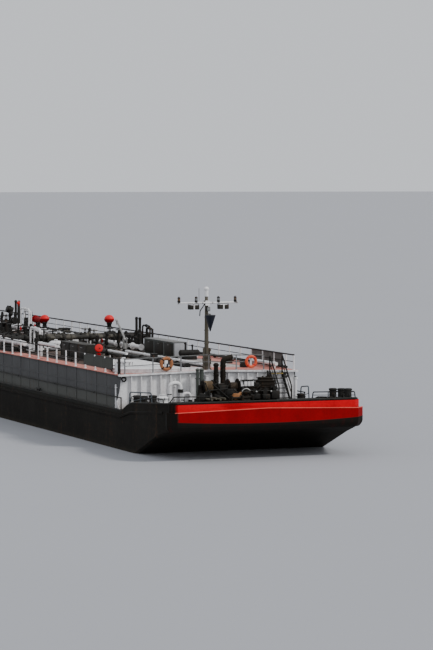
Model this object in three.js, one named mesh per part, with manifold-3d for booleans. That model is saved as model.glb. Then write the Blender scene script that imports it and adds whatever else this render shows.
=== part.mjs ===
// Pushed river tank barge with a raised cargo trunk, a scale model at 1:2.
// +X is forward, +Y is port, +Z is up. The origin is under the middle of the flat bottom.
// Lengths are written in metres of the full-size barge and multiplied by M,
// the millimetres that one such metre measures in the model.

import * as THREE from 'three';
import { mergeVertices } from 'three/addons/utils/BufferGeometryUtils.js';
import Module from 'manifold-3d';

const wasm = await Module();
wasm.setup();

const M = 500;
const SEAT_GAP = 0.3;

// Driving dimensions of the hull, in metres.
const LENGTH = 76.5;
const BEAM = 11.4;
const MAIN_DECK_Z = 3.0;
const FENDER_DEPTH = 0.25;
const STRAKE_DEPTH = 0.06;
const HULL_HALF = BEAM / 2 - STRAKE_DEPTH;
const HULL_BOW_X = LENGTH / 2 - FENDER_DEPTH;
const HULL_STERN_X = -HULL_BOW_X;

// Driving dimensions of the trunk, in metres.
const TRUNK_FRONT_X = 29.0;
const TRUNK_AFT_X = -31.0;
const TRUNK_HALF = 5.42;
const TRUNK_SIDE_Z = 4.92;
const TRUNK_RIDGE_Z = 5.06;
const DECK_PLATE = 0.03;
const BULKHEAD_PLATE = 0.05;
const CORNER_CUT = 0.2;
const RAIL_HEIGHT = 0.88;
const STANCHION_PITCH = 1.816;

// Height of the open deck edge along the hull: x, z.
const SHEER = [
  [-38.0, 3.6], [-35.4, 3.45], [-33.9, 3.34], [-33.0, 3.1], [-32.6, 3.0],
  [30.0, 3.0], [30.4, 3.1], [31.0, 3.34], [31.8, 3.55], [38.0, 3.94],
];
// Height of the bottom along the hull: x, z.
const KEEL = [
  [-38.0, 1.7], [-37.4, 1.35], [-33.6, 0], [30.2, 0], [36.0, 2.0], [37.65, 2.42], [37.9, 2.5], [38.0, 2.6],
];
// Half breadth along the hull: x, y.
const PLAN = [
  [-38.0, 5.2], [-37.5, 5.5], [-36.0, HULL_HALF], [36.0, HULL_HALF], [37.65, 5.5], [38.0, 5.15],
];

// Height of the cut at the hull's lower corners along the hull: x, height.
const CHINE = [[-38.0, 0.35], [30.2, 0.35], [31.8, 0.1], [38.0, 0.1]];

/** Read a table of [position, value] rows at a position, straight between rows. */
function along(table, x) {
  if (x <= table[0][0]) return table[0][1];
  for (let i = 1; i < table.length; i += 1) {
    const [x0, v0] = table[i - 1];
    const [x1, v1] = table[i];
    if (x <= x1) return v0 + ((v1 - v0) * (x - x0)) / (x1 - x0);
  }
  return table[table.length - 1][1];
}

/** Height of the trunk's ridged deck at a distance from the centreline. */
function trunkTop(y) {
  const fall = (TRUNK_RIDGE_Z - TRUNK_SIDE_Z) * (Math.abs(y) / TRUNK_HALF);
  return TRUNK_RIDGE_Z - fall + DECK_PLATE;
}

/** Turn a closed three.js geometry into a solid. */
function solid(geometry) {
  const bare = geometry.clone();
  for (const name of Object.keys(bare.attributes)) {
    if (name !== 'position') bare.deleteAttribute(name);
  }
  const merged = mergeVertices(bare, 1e-4);
  return new wasm.Manifold(new wasm.Mesh({
    numProp: 3,
    vertProperties: new Float32Array(merged.attributes.position.array),
    triVerts: new Uint32Array(merged.index.array),
  }));
}

/** Turn a solid back into a geometry with flat faces. */
function geometryOf(body) {
  const mesh = body.getMesh();
  const geometry = new THREE.BufferGeometry();
  geometry.setAttribute('position', new THREE.BufferAttribute(new Float32Array(mesh.vertProperties), 3));
  geometry.setIndex(new THREE.BufferAttribute(new Uint32Array(mesh.triVerts), 1));
  geometry.computeVertexNormals();
  return geometry;
}

/** Join solids that touch or overlap into one. */
function join(parts) {
  return parts.reduce((sum, part) => sum.add(part));
}

/** A block between two corners, given in metres. */
function block([x0, x1], [y0, y1], [z0, z1]) {
  const shape = new THREE.BoxGeometry((x1 - x0) * M, (y1 - y0) * M, (z1 - z0) * M);
  shape.translate(((x0 + x1) / 2) * M, ((y0 + y1) / 2) * M, ((z0 + z1) / 2) * M);
  return solid(shape);
}

/** A round bar between two points in metres, with an optional second radius at its far end. */
function bar(from, to, radius, sides = 8, endRadius = radius) {
  const a = new THREE.Vector3(...from).multiplyScalar(M);
  const b = new THREE.Vector3(...to).multiplyScalar(M);
  const shape = new THREE.CylinderGeometry(endRadius * M, radius * M, a.distanceTo(b), sides);
  const turn = new THREE.Quaternion().setFromUnitVectors(
    new THREE.Vector3(0, 1, 0), b.clone().sub(a).normalize(),
  );
  shape.applyQuaternion(turn);
  shape.translate((a.x + b.x) / 2, (a.y + b.y) / 2, (a.z + b.z) / 2);
  return solid(shape);
}

/** A path through fixed points, read point by point instead of by distance. */
class CornerPath extends THREE.Curve {
  constructor(points) {
    super();
    this.points = points;
  }

  getPoint(t, target = new THREE.Vector3()) {
    const place = t * (this.points.length - 1);
    const i = Math.min(Math.floor(place + 1e-6), this.points.length - 2);
    return target.copy(this.points[i]).lerp(this.points[i + 1], place - i);
  }

  getPointAt(t, target) {
    return this.getPoint(t, target);
  }

  getTangentAt(t, target = new THREE.Vector3()) {
    const i = Math.round(t * (this.points.length - 1));
    const before = this.points[Math.max(i - 1, 0)];
    const here = this.points[i];
    const after = this.points[Math.min(i + 1, this.points.length - 1)];
    const into = here.clone().sub(before).normalize();
    const out = after.clone().sub(here).normalize();
    return target.copy(into.add(out).normalize());
  }
}

/** A round pipe through points in metres, with its corners rounded. */
function pipe(points, radius, bend, sides = 8, steps = 4) {
  const path = points.map((point) => new THREE.Vector3(...point).multiplyScalar(M));
  const centres = [path[0]];
  for (let i = 1; i < path.length - 1; i += 1) {
    const before = path[i - 1].clone().sub(path[i]).normalize().multiplyScalar(bend * M).add(path[i]);
    const after = path[i + 1].clone().sub(path[i]).normalize().multiplyScalar(bend * M).add(path[i]);
    centres.push(...new THREE.QuadraticBezierCurve3(before, path[i], after).getPoints(steps));
  }
  centres.push(path[path.length - 1]);
  const round = new THREE.Shape().absarc(0, 0, radius * M, 0, Math.PI * 2, false);
  const section = new THREE.Shape(round.getPoints(sides / 2).slice(0, -1));
  const geometry = new THREE.ExtrudeGeometry(section, {
    extrudePath: new CornerPath(centres), steps: centres.length - 1, curveSegments: sides,
  });
  return solid(geometry);
}

/** A flat outline in the XZ plane, in metres, made solid between two values of y. */
function sidePlate(outline, [y0, y1]) {
  const shape = new THREE.Shape(outline.map(([x, z]) => new THREE.Vector2(x * M, z * M)));
  const geometry = new THREE.ExtrudeGeometry(shape, { depth: (y1 - y0) * M, bevelEnabled: false });
  geometry.rotateX(Math.PI / 2);
  geometry.translate(0, y1 * M, 0);
  return solid(geometry);
}

/** A flat outline in the YZ plane, in metres, made solid between two values of x. */
function crossPlate(outline, [x0, x1]) {
  const shape = new THREE.Shape(outline.map(([y, z]) => new THREE.Vector2(y * M, z * M)));
  const geometry = new THREE.ExtrudeGeometry(shape, { depth: (x1 - x0) * M, bevelEnabled: false });
  geometry.rotateX(Math.PI / 2);
  geometry.rotateZ(Math.PI / 2);
  geometry.translate(x0 * M, 0, 0);
  return solid(geometry);
}

/** A flat outline in the XY plane, in metres, made solid between two heights. */
function planPlate(outline, [z0, z1]) {
  const shape = new THREE.Shape(outline.map(([x, y]) => new THREE.Vector2(x * M, y * M)));
  const geometry = new THREE.ExtrudeGeometry(shape, { depth: (z1 - z0) * M, bevelEnabled: false });
  geometry.translate(0, 0, z0 * M);
  return solid(geometry);
}

/** A round body on an upright axis, from a profile of [radius, height] rows that ends on the axis. */
function turned(profile, [x, y, z], sides = 12) {
  const points = profile.map(([r, h]) => new THREE.Vector2(r * M, h * M));
  const shape = new THREE.LatheGeometry(points, sides);
  shape.rotateX(Math.PI / 2);
  shape.translate(x * M, y * M, z * M);
  return solid(shape);
}

/** A closed body through rings of [x, y, z] points, counterclockwise as seen from past the last ring. */
function skin(rings) {
  const count = rings[0].length;
  const positions = rings.flat(2).map((value) => value * M);
  const index = [];
  for (let s = 0; s < rings.length - 1; s += 1) {
    for (let i = 0; i < count; i += 1) {
      const j = (i + 1) % count;
      const a = s * count + i;
      const b = s * count + j;
      index.push(a, b, a + count, b, b + count, a + count);
    }
  }
  const last = (rings.length - 1) * count;
  for (let i = 1; i < count - 1; i += 1) {
    index.push(0, i + 1, i);
    index.push(last, last + i, last + i + 1);
  }
  const geometry = new THREE.BufferGeometry();
  geometry.setAttribute('position', new THREE.Float32BufferAttribute(positions, 3));
  geometry.setIndex(index);
  return solid(geometry);
}

/** A closed body through cross sections, each an x and a ring of [y, z] points. */
function loft(sections) {
  return skin(sections.map(({ x, ring }) => ring.map(([y, z]) => [x, y, z])));
}

/** The hull's cross section at x, with its deck and plan raised or widened by a margin in metres. */
function hullRing(x, margin = 0) {
  const half = along(PLAN, x) + margin;
  const bottom = along(KEEL, x) - margin;
  const deck = along(SHEER, x) + margin;
  const chine = Math.min(along(CHINE, x), (deck - bottom) / 3);
  return [
    [half - chine, bottom], [half, bottom + chine], [half, deck],
    [-half, deck], [-half, bottom + chine], [-half + chine, bottom],
  ];
}

/** The hull as a loft, optionally grown by a margin for trimming what stands on it. */
function hullBody(margin = 0) {
  const stations = [...new Set([...SHEER, ...KEEL, ...PLAN].map(([x]) => x))].sort((a, b) => a - b);
  return loft(stations.map((x) => ({ x, ring: hullRing(x, margin) })));
}

const gapM = SEAT_GAP / M;
const hullSolid = hullBody();
const hullTrim = hullBody(gapM);

/** The trunk's ridged cross section, grown by a margin in metres. */
function trunkRing(margin) {
  const half = TRUNK_HALF + margin;
  return [
    [half, MAIN_DECK_Z - 0.5], [half, TRUNK_SIDE_Z + margin], [0, TRUNK_RIDGE_Z + margin],
    [-half, TRUNK_SIDE_Z + margin], [-half, MAIN_DECK_Z - 0.5],
  ];
}

const trunkTrim = crossPlate(trunkRing(DECK_PLATE + gapM), [TRUNK_AFT_X - 0.1, TRUNK_FRONT_X + 0.1]);

/** Cut a piece off 0.3 mm above the open deck. */
const onHull = (piece) => piece.subtract(hullTrim);

/** Cut a piece off 0.3 mm above the trunk's deck. */
const onTrunk = (piece) => piece.subtract(trunkTrim);

const paint = {
  blackHull: { color: 0x14171a, roughness: 0.55, metalness: 0.1 },
  red: { color: 0xb3121a, roughness: 0.45, metalness: 0.1 },
  darkRed: { color: 0x7c1013, roughness: 0.5, metalness: 0.1 },
  trunkGrey: { color: 0x565b60, roughness: 0.6, metalness: 0.1 },
  deckRed: { color: 0xa25450, roughness: 0.75, metalness: 0.05 },
  white: { color: 0xd8d8d8, roughness: 0.5, metalness: 0.1 },
  darkGrey: { color: 0x2c3033, roughness: 0.5, metalness: 0.3 },
  black: { color: 0x17181a, roughness: 0.5, metalness: 0.2 },
  greenGrey: { color: 0x505a55, roughness: 0.6, metalness: 0.1 },
  mastBrown: { color: 0x5a5650, roughness: 0.6, metalness: 0.2 },
  rope: { color: 0x8a5a3a, roughness: 0.9, metalness: 0.0 },
  pipeGrey: { color: 0x4a4e50, roughness: 0.45, metalness: 0.4 },
  steel: { color: 0x6b6e70, roughness: 0.4, metalness: 0.7 },
  coneBlue: { color: 0x1c2434, roughness: 0.7, metalness: 0.0 },
};

const barge = new THREE.Group();

/** Add a named sub-part to the barge. */
function add(name, body, look) {
  const material = new THREE.MeshStandardMaterial({ ...look, flatShading: true });
  const mesh = new THREE.Mesh(geometryOf(body), material);
  mesh.name = name;
  barge.add(mesh);
}

// Hull, bow bands and rubbing strakes.

const BAND_LEDGE_Z = 3.47;
const BAND_THICK = 0.03;
// Rise of the ledge between fender and band from the corners to the centreline.
const LEDGE_RISE = 0.14;
// Upper edge of the band, a little below the deck's edge.
const BAND_TOP_Z = 3.89;
// Half the breadth of the fender's face.
const FENDER_HALF = 5.25;
// The bow bands reach round the corner to this station.
const WRAP_X = 37.6;
// The fender's rounded lower edge and its face: height, how far it stands out.
const FENDER_LEVELS = [[2.43, 0.04], [2.56, 0.17], [2.68, 0.23], [2.8, 0.25], [3.7, 0.25]];

/** The plan line round the bow from starboard to port, moved outwards by a distance in metres. */
function bowLine(out) {
  const side = 5.5 + out * 0.8;
  const half = [[WRAP_X, side], [37.65 + out * 0.6, side], [HULL_BOW_X + out, 5.15 + out * 0.4]];
  return [...half.map(([x, y]) => [x, -y]), ...half.reverse()];
}

/** Everything above the ledge between the bow's fender and its band, or with -1 everything below it. */
function ledgeCut(side, gap) {
  const z = BAND_LEDGE_Z + gap;
  return crossPlate([
    [-6, z + side], [-6, z], [-FENDER_HALF, z], [0, z + LEDGE_RISE], [FENDER_HALF, z], [6, z], [6, z + side],
  ], [WRAP_X - 0.5, HULL_BOW_X + 0.5]);
}

/** The bow fender: a heavy band with a rounded lower edge, whose top ledge rises to the centreline. */
function bowFender() {
  const body = skin(FENDER_LEVELS.map(([z, out]) => bowLine(out).map(([x, y]) => [x, y, z])));
  return body.subtract(hullTrim).subtract(ledgeCut(1, 0));
}

/** The upper bow band: plate over the bow above the fender. */
function bowBand() {
  const outer = planPlate(bowLine(BAND_THICK), [BAND_LEDGE_Z, BAND_TOP_Z]);
  const inner = planPlate([...bowLine(-0.02), [WRAP_X - 0.2, 5.2], [WRAP_X - 0.2, -5.2]], [3, 4]);
  return outer.subtract(inner).subtract(hullTrim).subtract(ledgeCut(-1, gapM));
}

/** A rubbing strake that follows the hull's deck edge a little below it. */
function rubbingStrake(side) {
  const stations = [[-36.8, 0.5], [-35.4, 0.4], [-32.6, 0.3], [30.0, 0.32], [31.8, 0.5], [36.8, 0.47]];
  return loft(stations.map(([x, below]) => {
    const z = along(SHEER, x) - below;
    const inner = along(PLAN, x) - 0.02;
    const outer = along(PLAN, x) + STRAKE_DEPTH;
    const ring = [[inner, z - 0.1], [outer, z - 0.05], [outer, z + 0.05], [inner, z + 0.1]];
    return { x, ring: side > 0 ? ring : ring.map(([y, h]) => [-y, h]).reverse() };
  }));
}

/** The stern's push face: a timber-backed block across the transom. */
function sternFender() {
  return block([-LENGTH / 2, HULL_STERN_X - gapM], [-4.9, 4.9], [2.5, 3.3]);
}

add('hull', join([hullSolid, rubbingStrake(-1), rubbingStrake(1)]), paint.blackHull);
add('stern_fender', sternFender(), paint.black);
add('bow_fender', bowFender(), paint.darkRed);
add('bow_band', bowBand(), paint.red);

// The trunk, its deck plate and its two end bulkheads.

const HATCH_RADIUS = 0.42;
const HATCH_HEIGHT = 0.45;
// Cargo tank hatches: name, x, y.
const HATCHES = [
  ['1', 25.6, -3.9], ['2', 7.6, -2.2], ['3', -6.5, -2.2], ['4', -18.7, -2.2],
];

// Frames on the trunk's sides, and the stringer between them.
const FRAME_DEPTH = 0.03;
const FRAME_FRONT_X = 25.2;
const FRAME_PITCH = 3.68;
const STRINGER_Z = 4.14;

/** The trunk's side plating with its upright frames and a stringer from frame to frame. */
function trunkBody() {
  const core = crossPlate([
    [TRUNK_HALF, MAIN_DECK_Z + gapM], [TRUNK_HALF, TRUNK_SIDE_Z], [0, TRUNK_RIDGE_Z],
    [-TRUNK_HALF, TRUNK_SIDE_Z], [-TRUNK_HALF, MAIN_DECK_Z + gapM],
  ], [TRUNK_AFT_X, TRUNK_FRONT_X]);
  const narrow = TRUNK_HALF - CORNER_CUT;
  const plan = planPlate([
    [TRUNK_AFT_X, -narrow], [TRUNK_AFT_X + CORNER_CUT, -TRUNK_HALF],
    [TRUNK_FRONT_X - CORNER_CUT, -TRUNK_HALF], [TRUNK_FRONT_X, -narrow],
    [TRUNK_FRONT_X, narrow], [TRUNK_FRONT_X - CORNER_CUT, TRUNK_HALF],
    [TRUNK_AFT_X + CORNER_CUT, TRUNK_HALF], [TRUNK_AFT_X, narrow],
  ], [MAIN_DECK_Z - 1, TRUNK_RIDGE_Z + 1]);
  const parts = [core.intersect(plan)];
  for (const side of [-1, 1]) {
    const wall = [side * TRUNK_HALF, side * (TRUNK_HALF + FRAME_DEPTH)].sort((a, b) => a - b);
    for (let x = FRAME_FRONT_X; x > TRUNK_AFT_X; x -= FRAME_PITCH) {
      parts.push(block([x - 0.04, x + 0.04], wall, [MAIN_DECK_Z + gapM, TRUNK_SIDE_Z - 0.03]));
    }
    const ends = [TRUNK_AFT_X + 0.6, TRUNK_FRONT_X - 0.6];
    parts.push(block(ends, wall, [STRINGER_Z - 0.03, STRINGER_Z + 0.03]));
  }
  return join(parts);
}

/** The trunk's deck plate with the coamings of the cargo tank hatches. */
function trunkDeck() {
  const overhang = 0.05;
  const edge = TRUNK_HALF + overhang;
  const drop = ((TRUNK_RIDGE_Z - TRUNK_SIDE_Z) * overhang) / TRUNK_HALF;
  const [under, over] = [TRUNK_SIDE_Z + gapM - drop, TRUNK_SIDE_Z + DECK_PLATE - drop];
  const parts = [crossPlate([
    [edge, under], [edge, over], [0, TRUNK_RIDGE_Z + DECK_PLATE],
    [-edge, over], [-edge, under], [0, TRUNK_RIDGE_Z + gapM],
  ], [TRUNK_AFT_X, TRUNK_FRONT_X])];
  for (const [, x, y] of HATCHES) {
    const foot = trunkTop(y) - 0.02;
    parts.push(bar([x, y, foot], [x, y, foot + HATCH_HEIGHT], HATCH_RADIUS, 16));
    parts.push(block([x - HATCH_RADIUS - 0.12, x - HATCH_RADIUS + 0.1], [y - 0.05, y + 0.05],
      [foot, foot + HATCH_HEIGHT]));
  }
  return join(parts).subtract(crossPlate(trunkRing(gapM), [TRUNK_AFT_X, TRUNK_FRONT_X]));
}

// Curved foot bracket at each corner of a bulkhead: reach from its face, height.
const BRACKET = [[0.02, 0], [0.62, 0], [0.58, 0.06], [0.36, 0.14], [0.22, 0.28], [0.14, 0.44], [0.02, 0.5]];
// Outer edge of a bulkhead's lower corner: how far it spreads past the plate, height.
const SPREAD = [[0.3, 0], [0.3, 0.36], [0.22, 0.6], [0.12, 1.0], [0.05, 1.5], [0, 1.8]];
const RIB_PITCH = 0.585;
const RIB_COUNT_SIDE = 8;
const RIB_DEPTH = 0.16;

/** A bulkhead at one end of the trunk: plate, upright ribs, spread lower corners and a proud top ledge. */
function bulkhead(faceX, outward) {
  const span = (from, to) => [faceX + outward * from, faceX + outward * to].sort((a, b) => a - b);
  const foot = MAIN_DECK_Z + gapM;
  const half = TRUNK_HALF - CORNER_CUT;
  const parts = [crossPlate([
    [half, foot], [half, TRUNK_SIDE_Z], [0, TRUNK_RIDGE_Z], [-half, TRUNK_SIDE_Z], [-half, foot],
  ], span(gapM, BULKHEAD_PLATE))];
  for (let i = -RIB_COUNT_SIDE; i <= RIB_COUNT_SIDE; i += 1) {
    const y = i * RIB_PITCH;
    parts.push(block(span(BULKHEAD_PLATE, BULKHEAD_PLATE + RIB_DEPTH), [y - 0.03, y + 0.03],
      [foot, TRUNK_SIDE_Z - 0.05]));
  }
  const [edge, top, ridge] = [TRUNK_HALF, TRUNK_SIDE_Z + DECK_PLATE, TRUNK_RIDGE_Z + DECK_PLATE];
  parts.push(crossPlate([
    [edge, top - 0.09], [edge, top], [0, ridge], [-edge, top], [-edge, top - 0.09], [0, ridge - 0.09],
  ], span(gapM, 0.26)));
  const bracket = BRACKET.map(([reach, height]) => [faceX + outward * reach, foot + height]);
  for (const side of [-1, 1]) {
    const corner = SPREAD.map(([out, height]) => [side * (half + out), foot + height]);
    parts.push(crossPlate([...corner, [side * (half - 0.1), foot + 1.8], [side * (half - 0.1), foot]],
      span(gapM, BULKHEAD_PLATE)));
    const outer = side * (half + SPREAD[0][0] - 0.02);
    parts.push(sidePlate(bracket, [outer - 0.02, outer + 0.02]));
  }
  return join(parts);
}

add('trunk', trunkBody(), paint.trunkGrey);
add('trunk_deck', trunkDeck(), paint.deckRed);
add('front_bulkhead', bulkhead(TRUNK_FRONT_X, 1), paint.white);
add('aft_bulkhead', bulkhead(TRUNK_AFT_X, -1), paint.white);

// Tank hatch lids, each hinged at its aft edge.

const LID_THICK = 0.09;

/** A domed lid with its hinge knuckle and two swing bolts' ears. */
function hatchLid(x, y) {
  const foot = trunkTop(y) - 0.02 + HATCH_HEIGHT + gapM;
  const dome = turned([[0, 0], [HATCH_RADIUS + 0.04, 0], [HATCH_RADIUS + 0.04, LID_THICK],
    [HATCH_RADIUS * 0.7, LID_THICK + 0.09], [0, LID_THICK + 0.12]], [x, y, foot], 16);
  const knuckle = block([x - HATCH_RADIUS - 0.12, x - HATCH_RADIUS + 0.05], [y - 0.05, y + 0.05],
    [foot, foot + LID_THICK]);
  const handle = block([x + HATCH_RADIUS, x + HATCH_RADIUS + 0.14], [y - 0.04, y + 0.04],
    [foot + 0.01, foot + 0.06]);
  return join([dome, knuckle, handle]);
}

for (const [name, x, y] of HATCHES) add(`tank_hatch_lid_${name}`, hatchLid(x, y), paint.white);

// Guard rails round the trunk's deck.

const RAIL_BAR = 0.03;
const RAIL_INSET = 0.12;
// Lengthways bars of a rail: height above the deck, radius.
const RAIL_BARS = [[RAIL_HEIGHT - RAIL_BAR, RAIL_BAR], [0.46, 0.022]];
// Life rings on the front rail.
const RING_RADIUS = 0.29;
const RING_THICK = 0.065;
const RING_Z = 5.5;
const RING_PLACES = [-2.54, 2.6];

// Side rails: name, side, distance from the fore end to the first post inside it.
const SIDE_RAILS = [['rail_starboard', -1, 0.6], ['rail_port', 1, 1.18]];

/** One straight guard rail between two points on the trunk's deck, with a post at each end. */
function guardRail([x0, y0], [x1, y1], lead = 0) {
  const length = Math.hypot(x1 - x0, y1 - y0);
  const pitch = length / Math.max(1, Math.round(length / STANCHION_PITCH));
  const steps = [0, length];
  for (let step = lead || pitch; step < length - pitch / 4; step += pitch) steps.push(step);
  const parts = [];
  for (const step of steps) {
    const [x, y] = [x1 + ((x0 - x1) * step) / length, y1 + ((y0 - y1) * step) / length];
    const top = trunkTop(y) + RAIL_HEIGHT - RAIL_BAR;
    parts.push(block([x - RAIL_BAR, x + RAIL_BAR], [y - RAIL_BAR, y + RAIL_BAR], [trunkTop(y) - 0.1, top]));
  }
  const bends = y0 === y1 ? [[x0, y0], [x1, y1]] : [[x0, y0], [x0, 0], [x1, y1]];
  for (const [height, radius] of RAIL_BARS) {
    for (let i = 1; i < bends.length; i += 1) {
      const ends = [bends[i - 1], bends[i]].map(([x, y]) => [x, y, trunkTop(y) + height]);
      parts.push(bar(ends[0], ends[1], radius, 6));
    }
  }
  return join(parts);
}

/** A life ring that hangs on the front rail, facing forward. */
function lifeRing(y) {
  const ring = new THREE.TorusGeometry(RING_RADIUS * M, RING_THICK * M, 6, 16);
  ring.rotateY(Math.PI / 2);
  ring.translate((railFront + RING_THICK) * M, y * M, RING_Z * M);
  return solid(ring);
}

const railY = TRUNK_HALF - RAIL_INSET;
const railFront = TRUNK_FRONT_X - 0.04;
const railAft = TRUNK_AFT_X + 0.04;
const frontRail = guardRail([railFront, -railY + 0.3], [railFront, 3.4]);
for (const [name, side, lead] of SIDE_RAILS) {
  const ends = [[railAft + 0.1, side * railY], [railFront - 0.1, side * railY]];
  add(name, onTrunk(guardRail(...ends, lead)), paint.white);
}
add('rail_front', onTrunk(join([frontRail, ...RING_PLACES.map(lifeRing)])), paint.white);
add('rail_aft', onTrunk(guardRail([railAft, -3.4], [railAft, railY - 0.3])), paint.white);

// Handrails along the trunk's sides.

/** A lengthways handrail held off the trunk's side by brackets, with a foot at its fore end. */
function sideHandrail(side) {
  const height = MAIN_DECK_Z + 0.72;
  const y = side * (TRUNK_HALF + 0.13);
  const fore = TRUNK_FRONT_X + 0.9;
  const parts = [
    bar([TRUNK_AFT_X + 0.4, y, height], [fore, y, height], 0.035, 6),
    bar([fore, y, MAIN_DECK_Z + gapM], [fore, y, height], 0.035, 6),
  ];
  for (let x = FRAME_FRONT_X; x > TRUNK_AFT_X + 1; x -= FRAME_PITCH * 2) {
    const reach = [side * (TRUNK_HALF + FRAME_DEPTH + gapM), y].sort((a, b) => a - b);
    parts.push(block([x - 0.02, x + 0.02], reach, [height - 0.02, height + 0.02]));
  }
  return join(parts);
}

add('side_handrail_starboard', sideHandrail(-1), paint.black);
add('side_handrail_port', sideHandrail(1), paint.black);

// Cargo piping on the trunk's deck.

const LINE_RADIUS = 0.13;
// Cargo lines: name, y, aft end, fore end, height of the pipe's middle, paint.
const CARGO_LINES = [
  ['starboard', -1.0, -24, 28.3, 0.22, 'pipeGrey'], ['port', 1.9, -24, 12.2, 0.36, 'white'],
];
const MANIFOLD_X = 5.0;
const MANIFOLD_HALF = 4.6;
const MANIFOLD_LIFT = 0.65;

/** A lengthways cargo line on low stools, with a blank flange at each end. */
function cargoLine(y, x0, x1, lift) {
  const z = trunkTop(y) + lift;
  const parts = [bar([x0, y, z], [x1, y, z], LINE_RADIUS, 8)];
  for (const [from, to] of [[x0, x0 + 0.06], [x1 - 0.06, x1]]) {
    parts.push(bar([from, y, z], [to, y, z], LINE_RADIUS * 1.5, 12));
  }
  for (let x = x0 + 1.5; x < x1 - 1; x += 6.1) {
    parts.push(block([x - 0.05, x + 0.05], [y - LINE_RADIUS, y + LINE_RADIUS], [trunkTop(y) - 0.1, z]));
  }
  return onTrunk(join(parts));
}

// Gate valves on the starboard line: first, last, pitch, wheel radius, height of the wheel above the pipe.
const VALVES = { first: -21.2, last: 3.2, pitch: 1.875, wheel: 0.27, rise: 0.7 };
const STRIPPING_Y = -1.55;

/** The gate valves of the starboard cargo line, tied to a stripping line that runs beside it. */
function strippingLine(y, lift) {
  const z = trunkTop(y) + lift;
  const parts = [bar([VALVES.first - 1, STRIPPING_Y, z], [VALVES.last, STRIPPING_Y, z], 0.11, 8)];
  for (let x = VALVES.first; x <= VALVES.last; x += VALVES.pitch) {
    parts.push(bar([x - 0.24, y, z], [x + 0.24, y, z], 0.2, 8));
    parts.push(bar([x, STRIPPING_Y, z], [x, y, z], 0.08, 6));
    parts.push(bar([x, y, z], [x, y, z + VALVES.rise * 0.6], 0.13, 8));
    parts.push(bar([x, y, z], [x, y, z + VALVES.rise], 0.04, 4));
    parts.push(bar([x, y, z + VALVES.rise], [x, y, z + VALVES.rise + 0.05], VALVES.wheel, 8));
  }
  return onTrunk(join(parts));
}

/** The loading manifold: two cross pipes with flanged ends and valves, joined by a short run. */
function loadingManifold() {
  const z = trunkTop(0) + MANIFOLD_LIFT;
  const parts = [bar([MANIFOLD_X - 0.9, 0, z], [MANIFOLD_X + 0.9, 0, z], 0.12, 8)];
  for (const x of [MANIFOLD_X - 0.9, MANIFOLD_X + 0.9]) {
    parts.push(bar([x, -MANIFOLD_HALF, z], [x, MANIFOLD_HALF, z], 0.14, 8));
    for (const side of [-1, 1]) {
      const valve = side * 2.6;
      parts.push(bar([x, side * (MANIFOLD_HALF - 0.06), z], [x, side * MANIFOLD_HALF, z], 0.24, 12));
      parts.push(bar([x, valve - 0.2, z], [x, valve + 0.2, z], 0.24, 8));
      parts.push(bar([x, valve, z], [x, valve, z + 0.4], 0.05, 4));
      parts.push(bar([x, valve, z + 0.4], [x, valve, z + 0.44], 0.2, 8));
      for (const y of [side * 4.1, side * 1.4]) {
        parts.push(block([x - 0.06, x + 0.06], [y - 0.06, y + 0.06], [trunkTop(y) - 0.1, z]));
      }
    }
  }
  return onTrunk(join(parts));
}

for (const [name, y, x0, x1, lift, look] of CARGO_LINES) {
  const line = cargoLine(y, x0, x1, lift);
  const body = name === 'starboard' ? join([line, strippingLine(y, lift)]) : line;
  add(`cargo_line_${name}`, body, paint[look]);
}
add('loading_manifold', loadingManifold(), paint.pipeGrey);

// Vapour risers, pump risers and deck boxes on the trunk's deck.

// Relief risers on the vapour line: x, height.
const RELIEF_RISERS = [[3.5, 1.97], [-10.4, 1.35], [-24.7, 1.35]];
const VAPOUR_Y = 2.75;
const VAPOUR_ENDS = [-26, 11.2];
// A relief cap's profile: radius, height.
const CAP = [[0, 0], [0.13, 0], [0.2, 0.08], [0.32, 0.24], [0.3, 0.38], [0.18, 0.5], [0, 0.55]];
const ARRESTER = { riser: 1, length: 2.2, radius: 0.17, lift: 0.98 };

/** The vapour line with its relief risers, each a post with a round cap, and a flame arrester aft of one. */
function vapourLine() {
  const foot = trunkTop(VAPOUR_Y);
  const z = foot + 0.3;
  const parts = [bar([VAPOUR_ENDS[0], VAPOUR_Y, z], [VAPOUR_ENDS[1], VAPOUR_Y, z], 0.08, 8)];
  for (let x = VAPOUR_ENDS[0] + 1; x < VAPOUR_ENDS[1]; x += 6.2) {
    parts.push(block([x - 0.05, x + 0.05], [VAPOUR_Y - 0.06, VAPOUR_Y + 0.06], [foot - 0.1, z]));
  }
  for (const [x, height] of RELIEF_RISERS) {
    parts.push(bar([x, VAPOUR_Y, z], [x, VAPOUR_Y, foot + height - 0.3], 0.09, 8));
    parts.push(turned(CAP, [x, VAPOUR_Y, foot + height - 0.55], 12));
  }
  const [fore] = RELIEF_RISERS[ARRESTER.riser];
  const middle = foot + ARRESTER.lift;
  parts.push(bar([fore - ARRESTER.length, VAPOUR_Y, middle], [fore, VAPOUR_Y, middle], ARRESTER.radius, 10));
  return onTrunk(join(parts));
}

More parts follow.
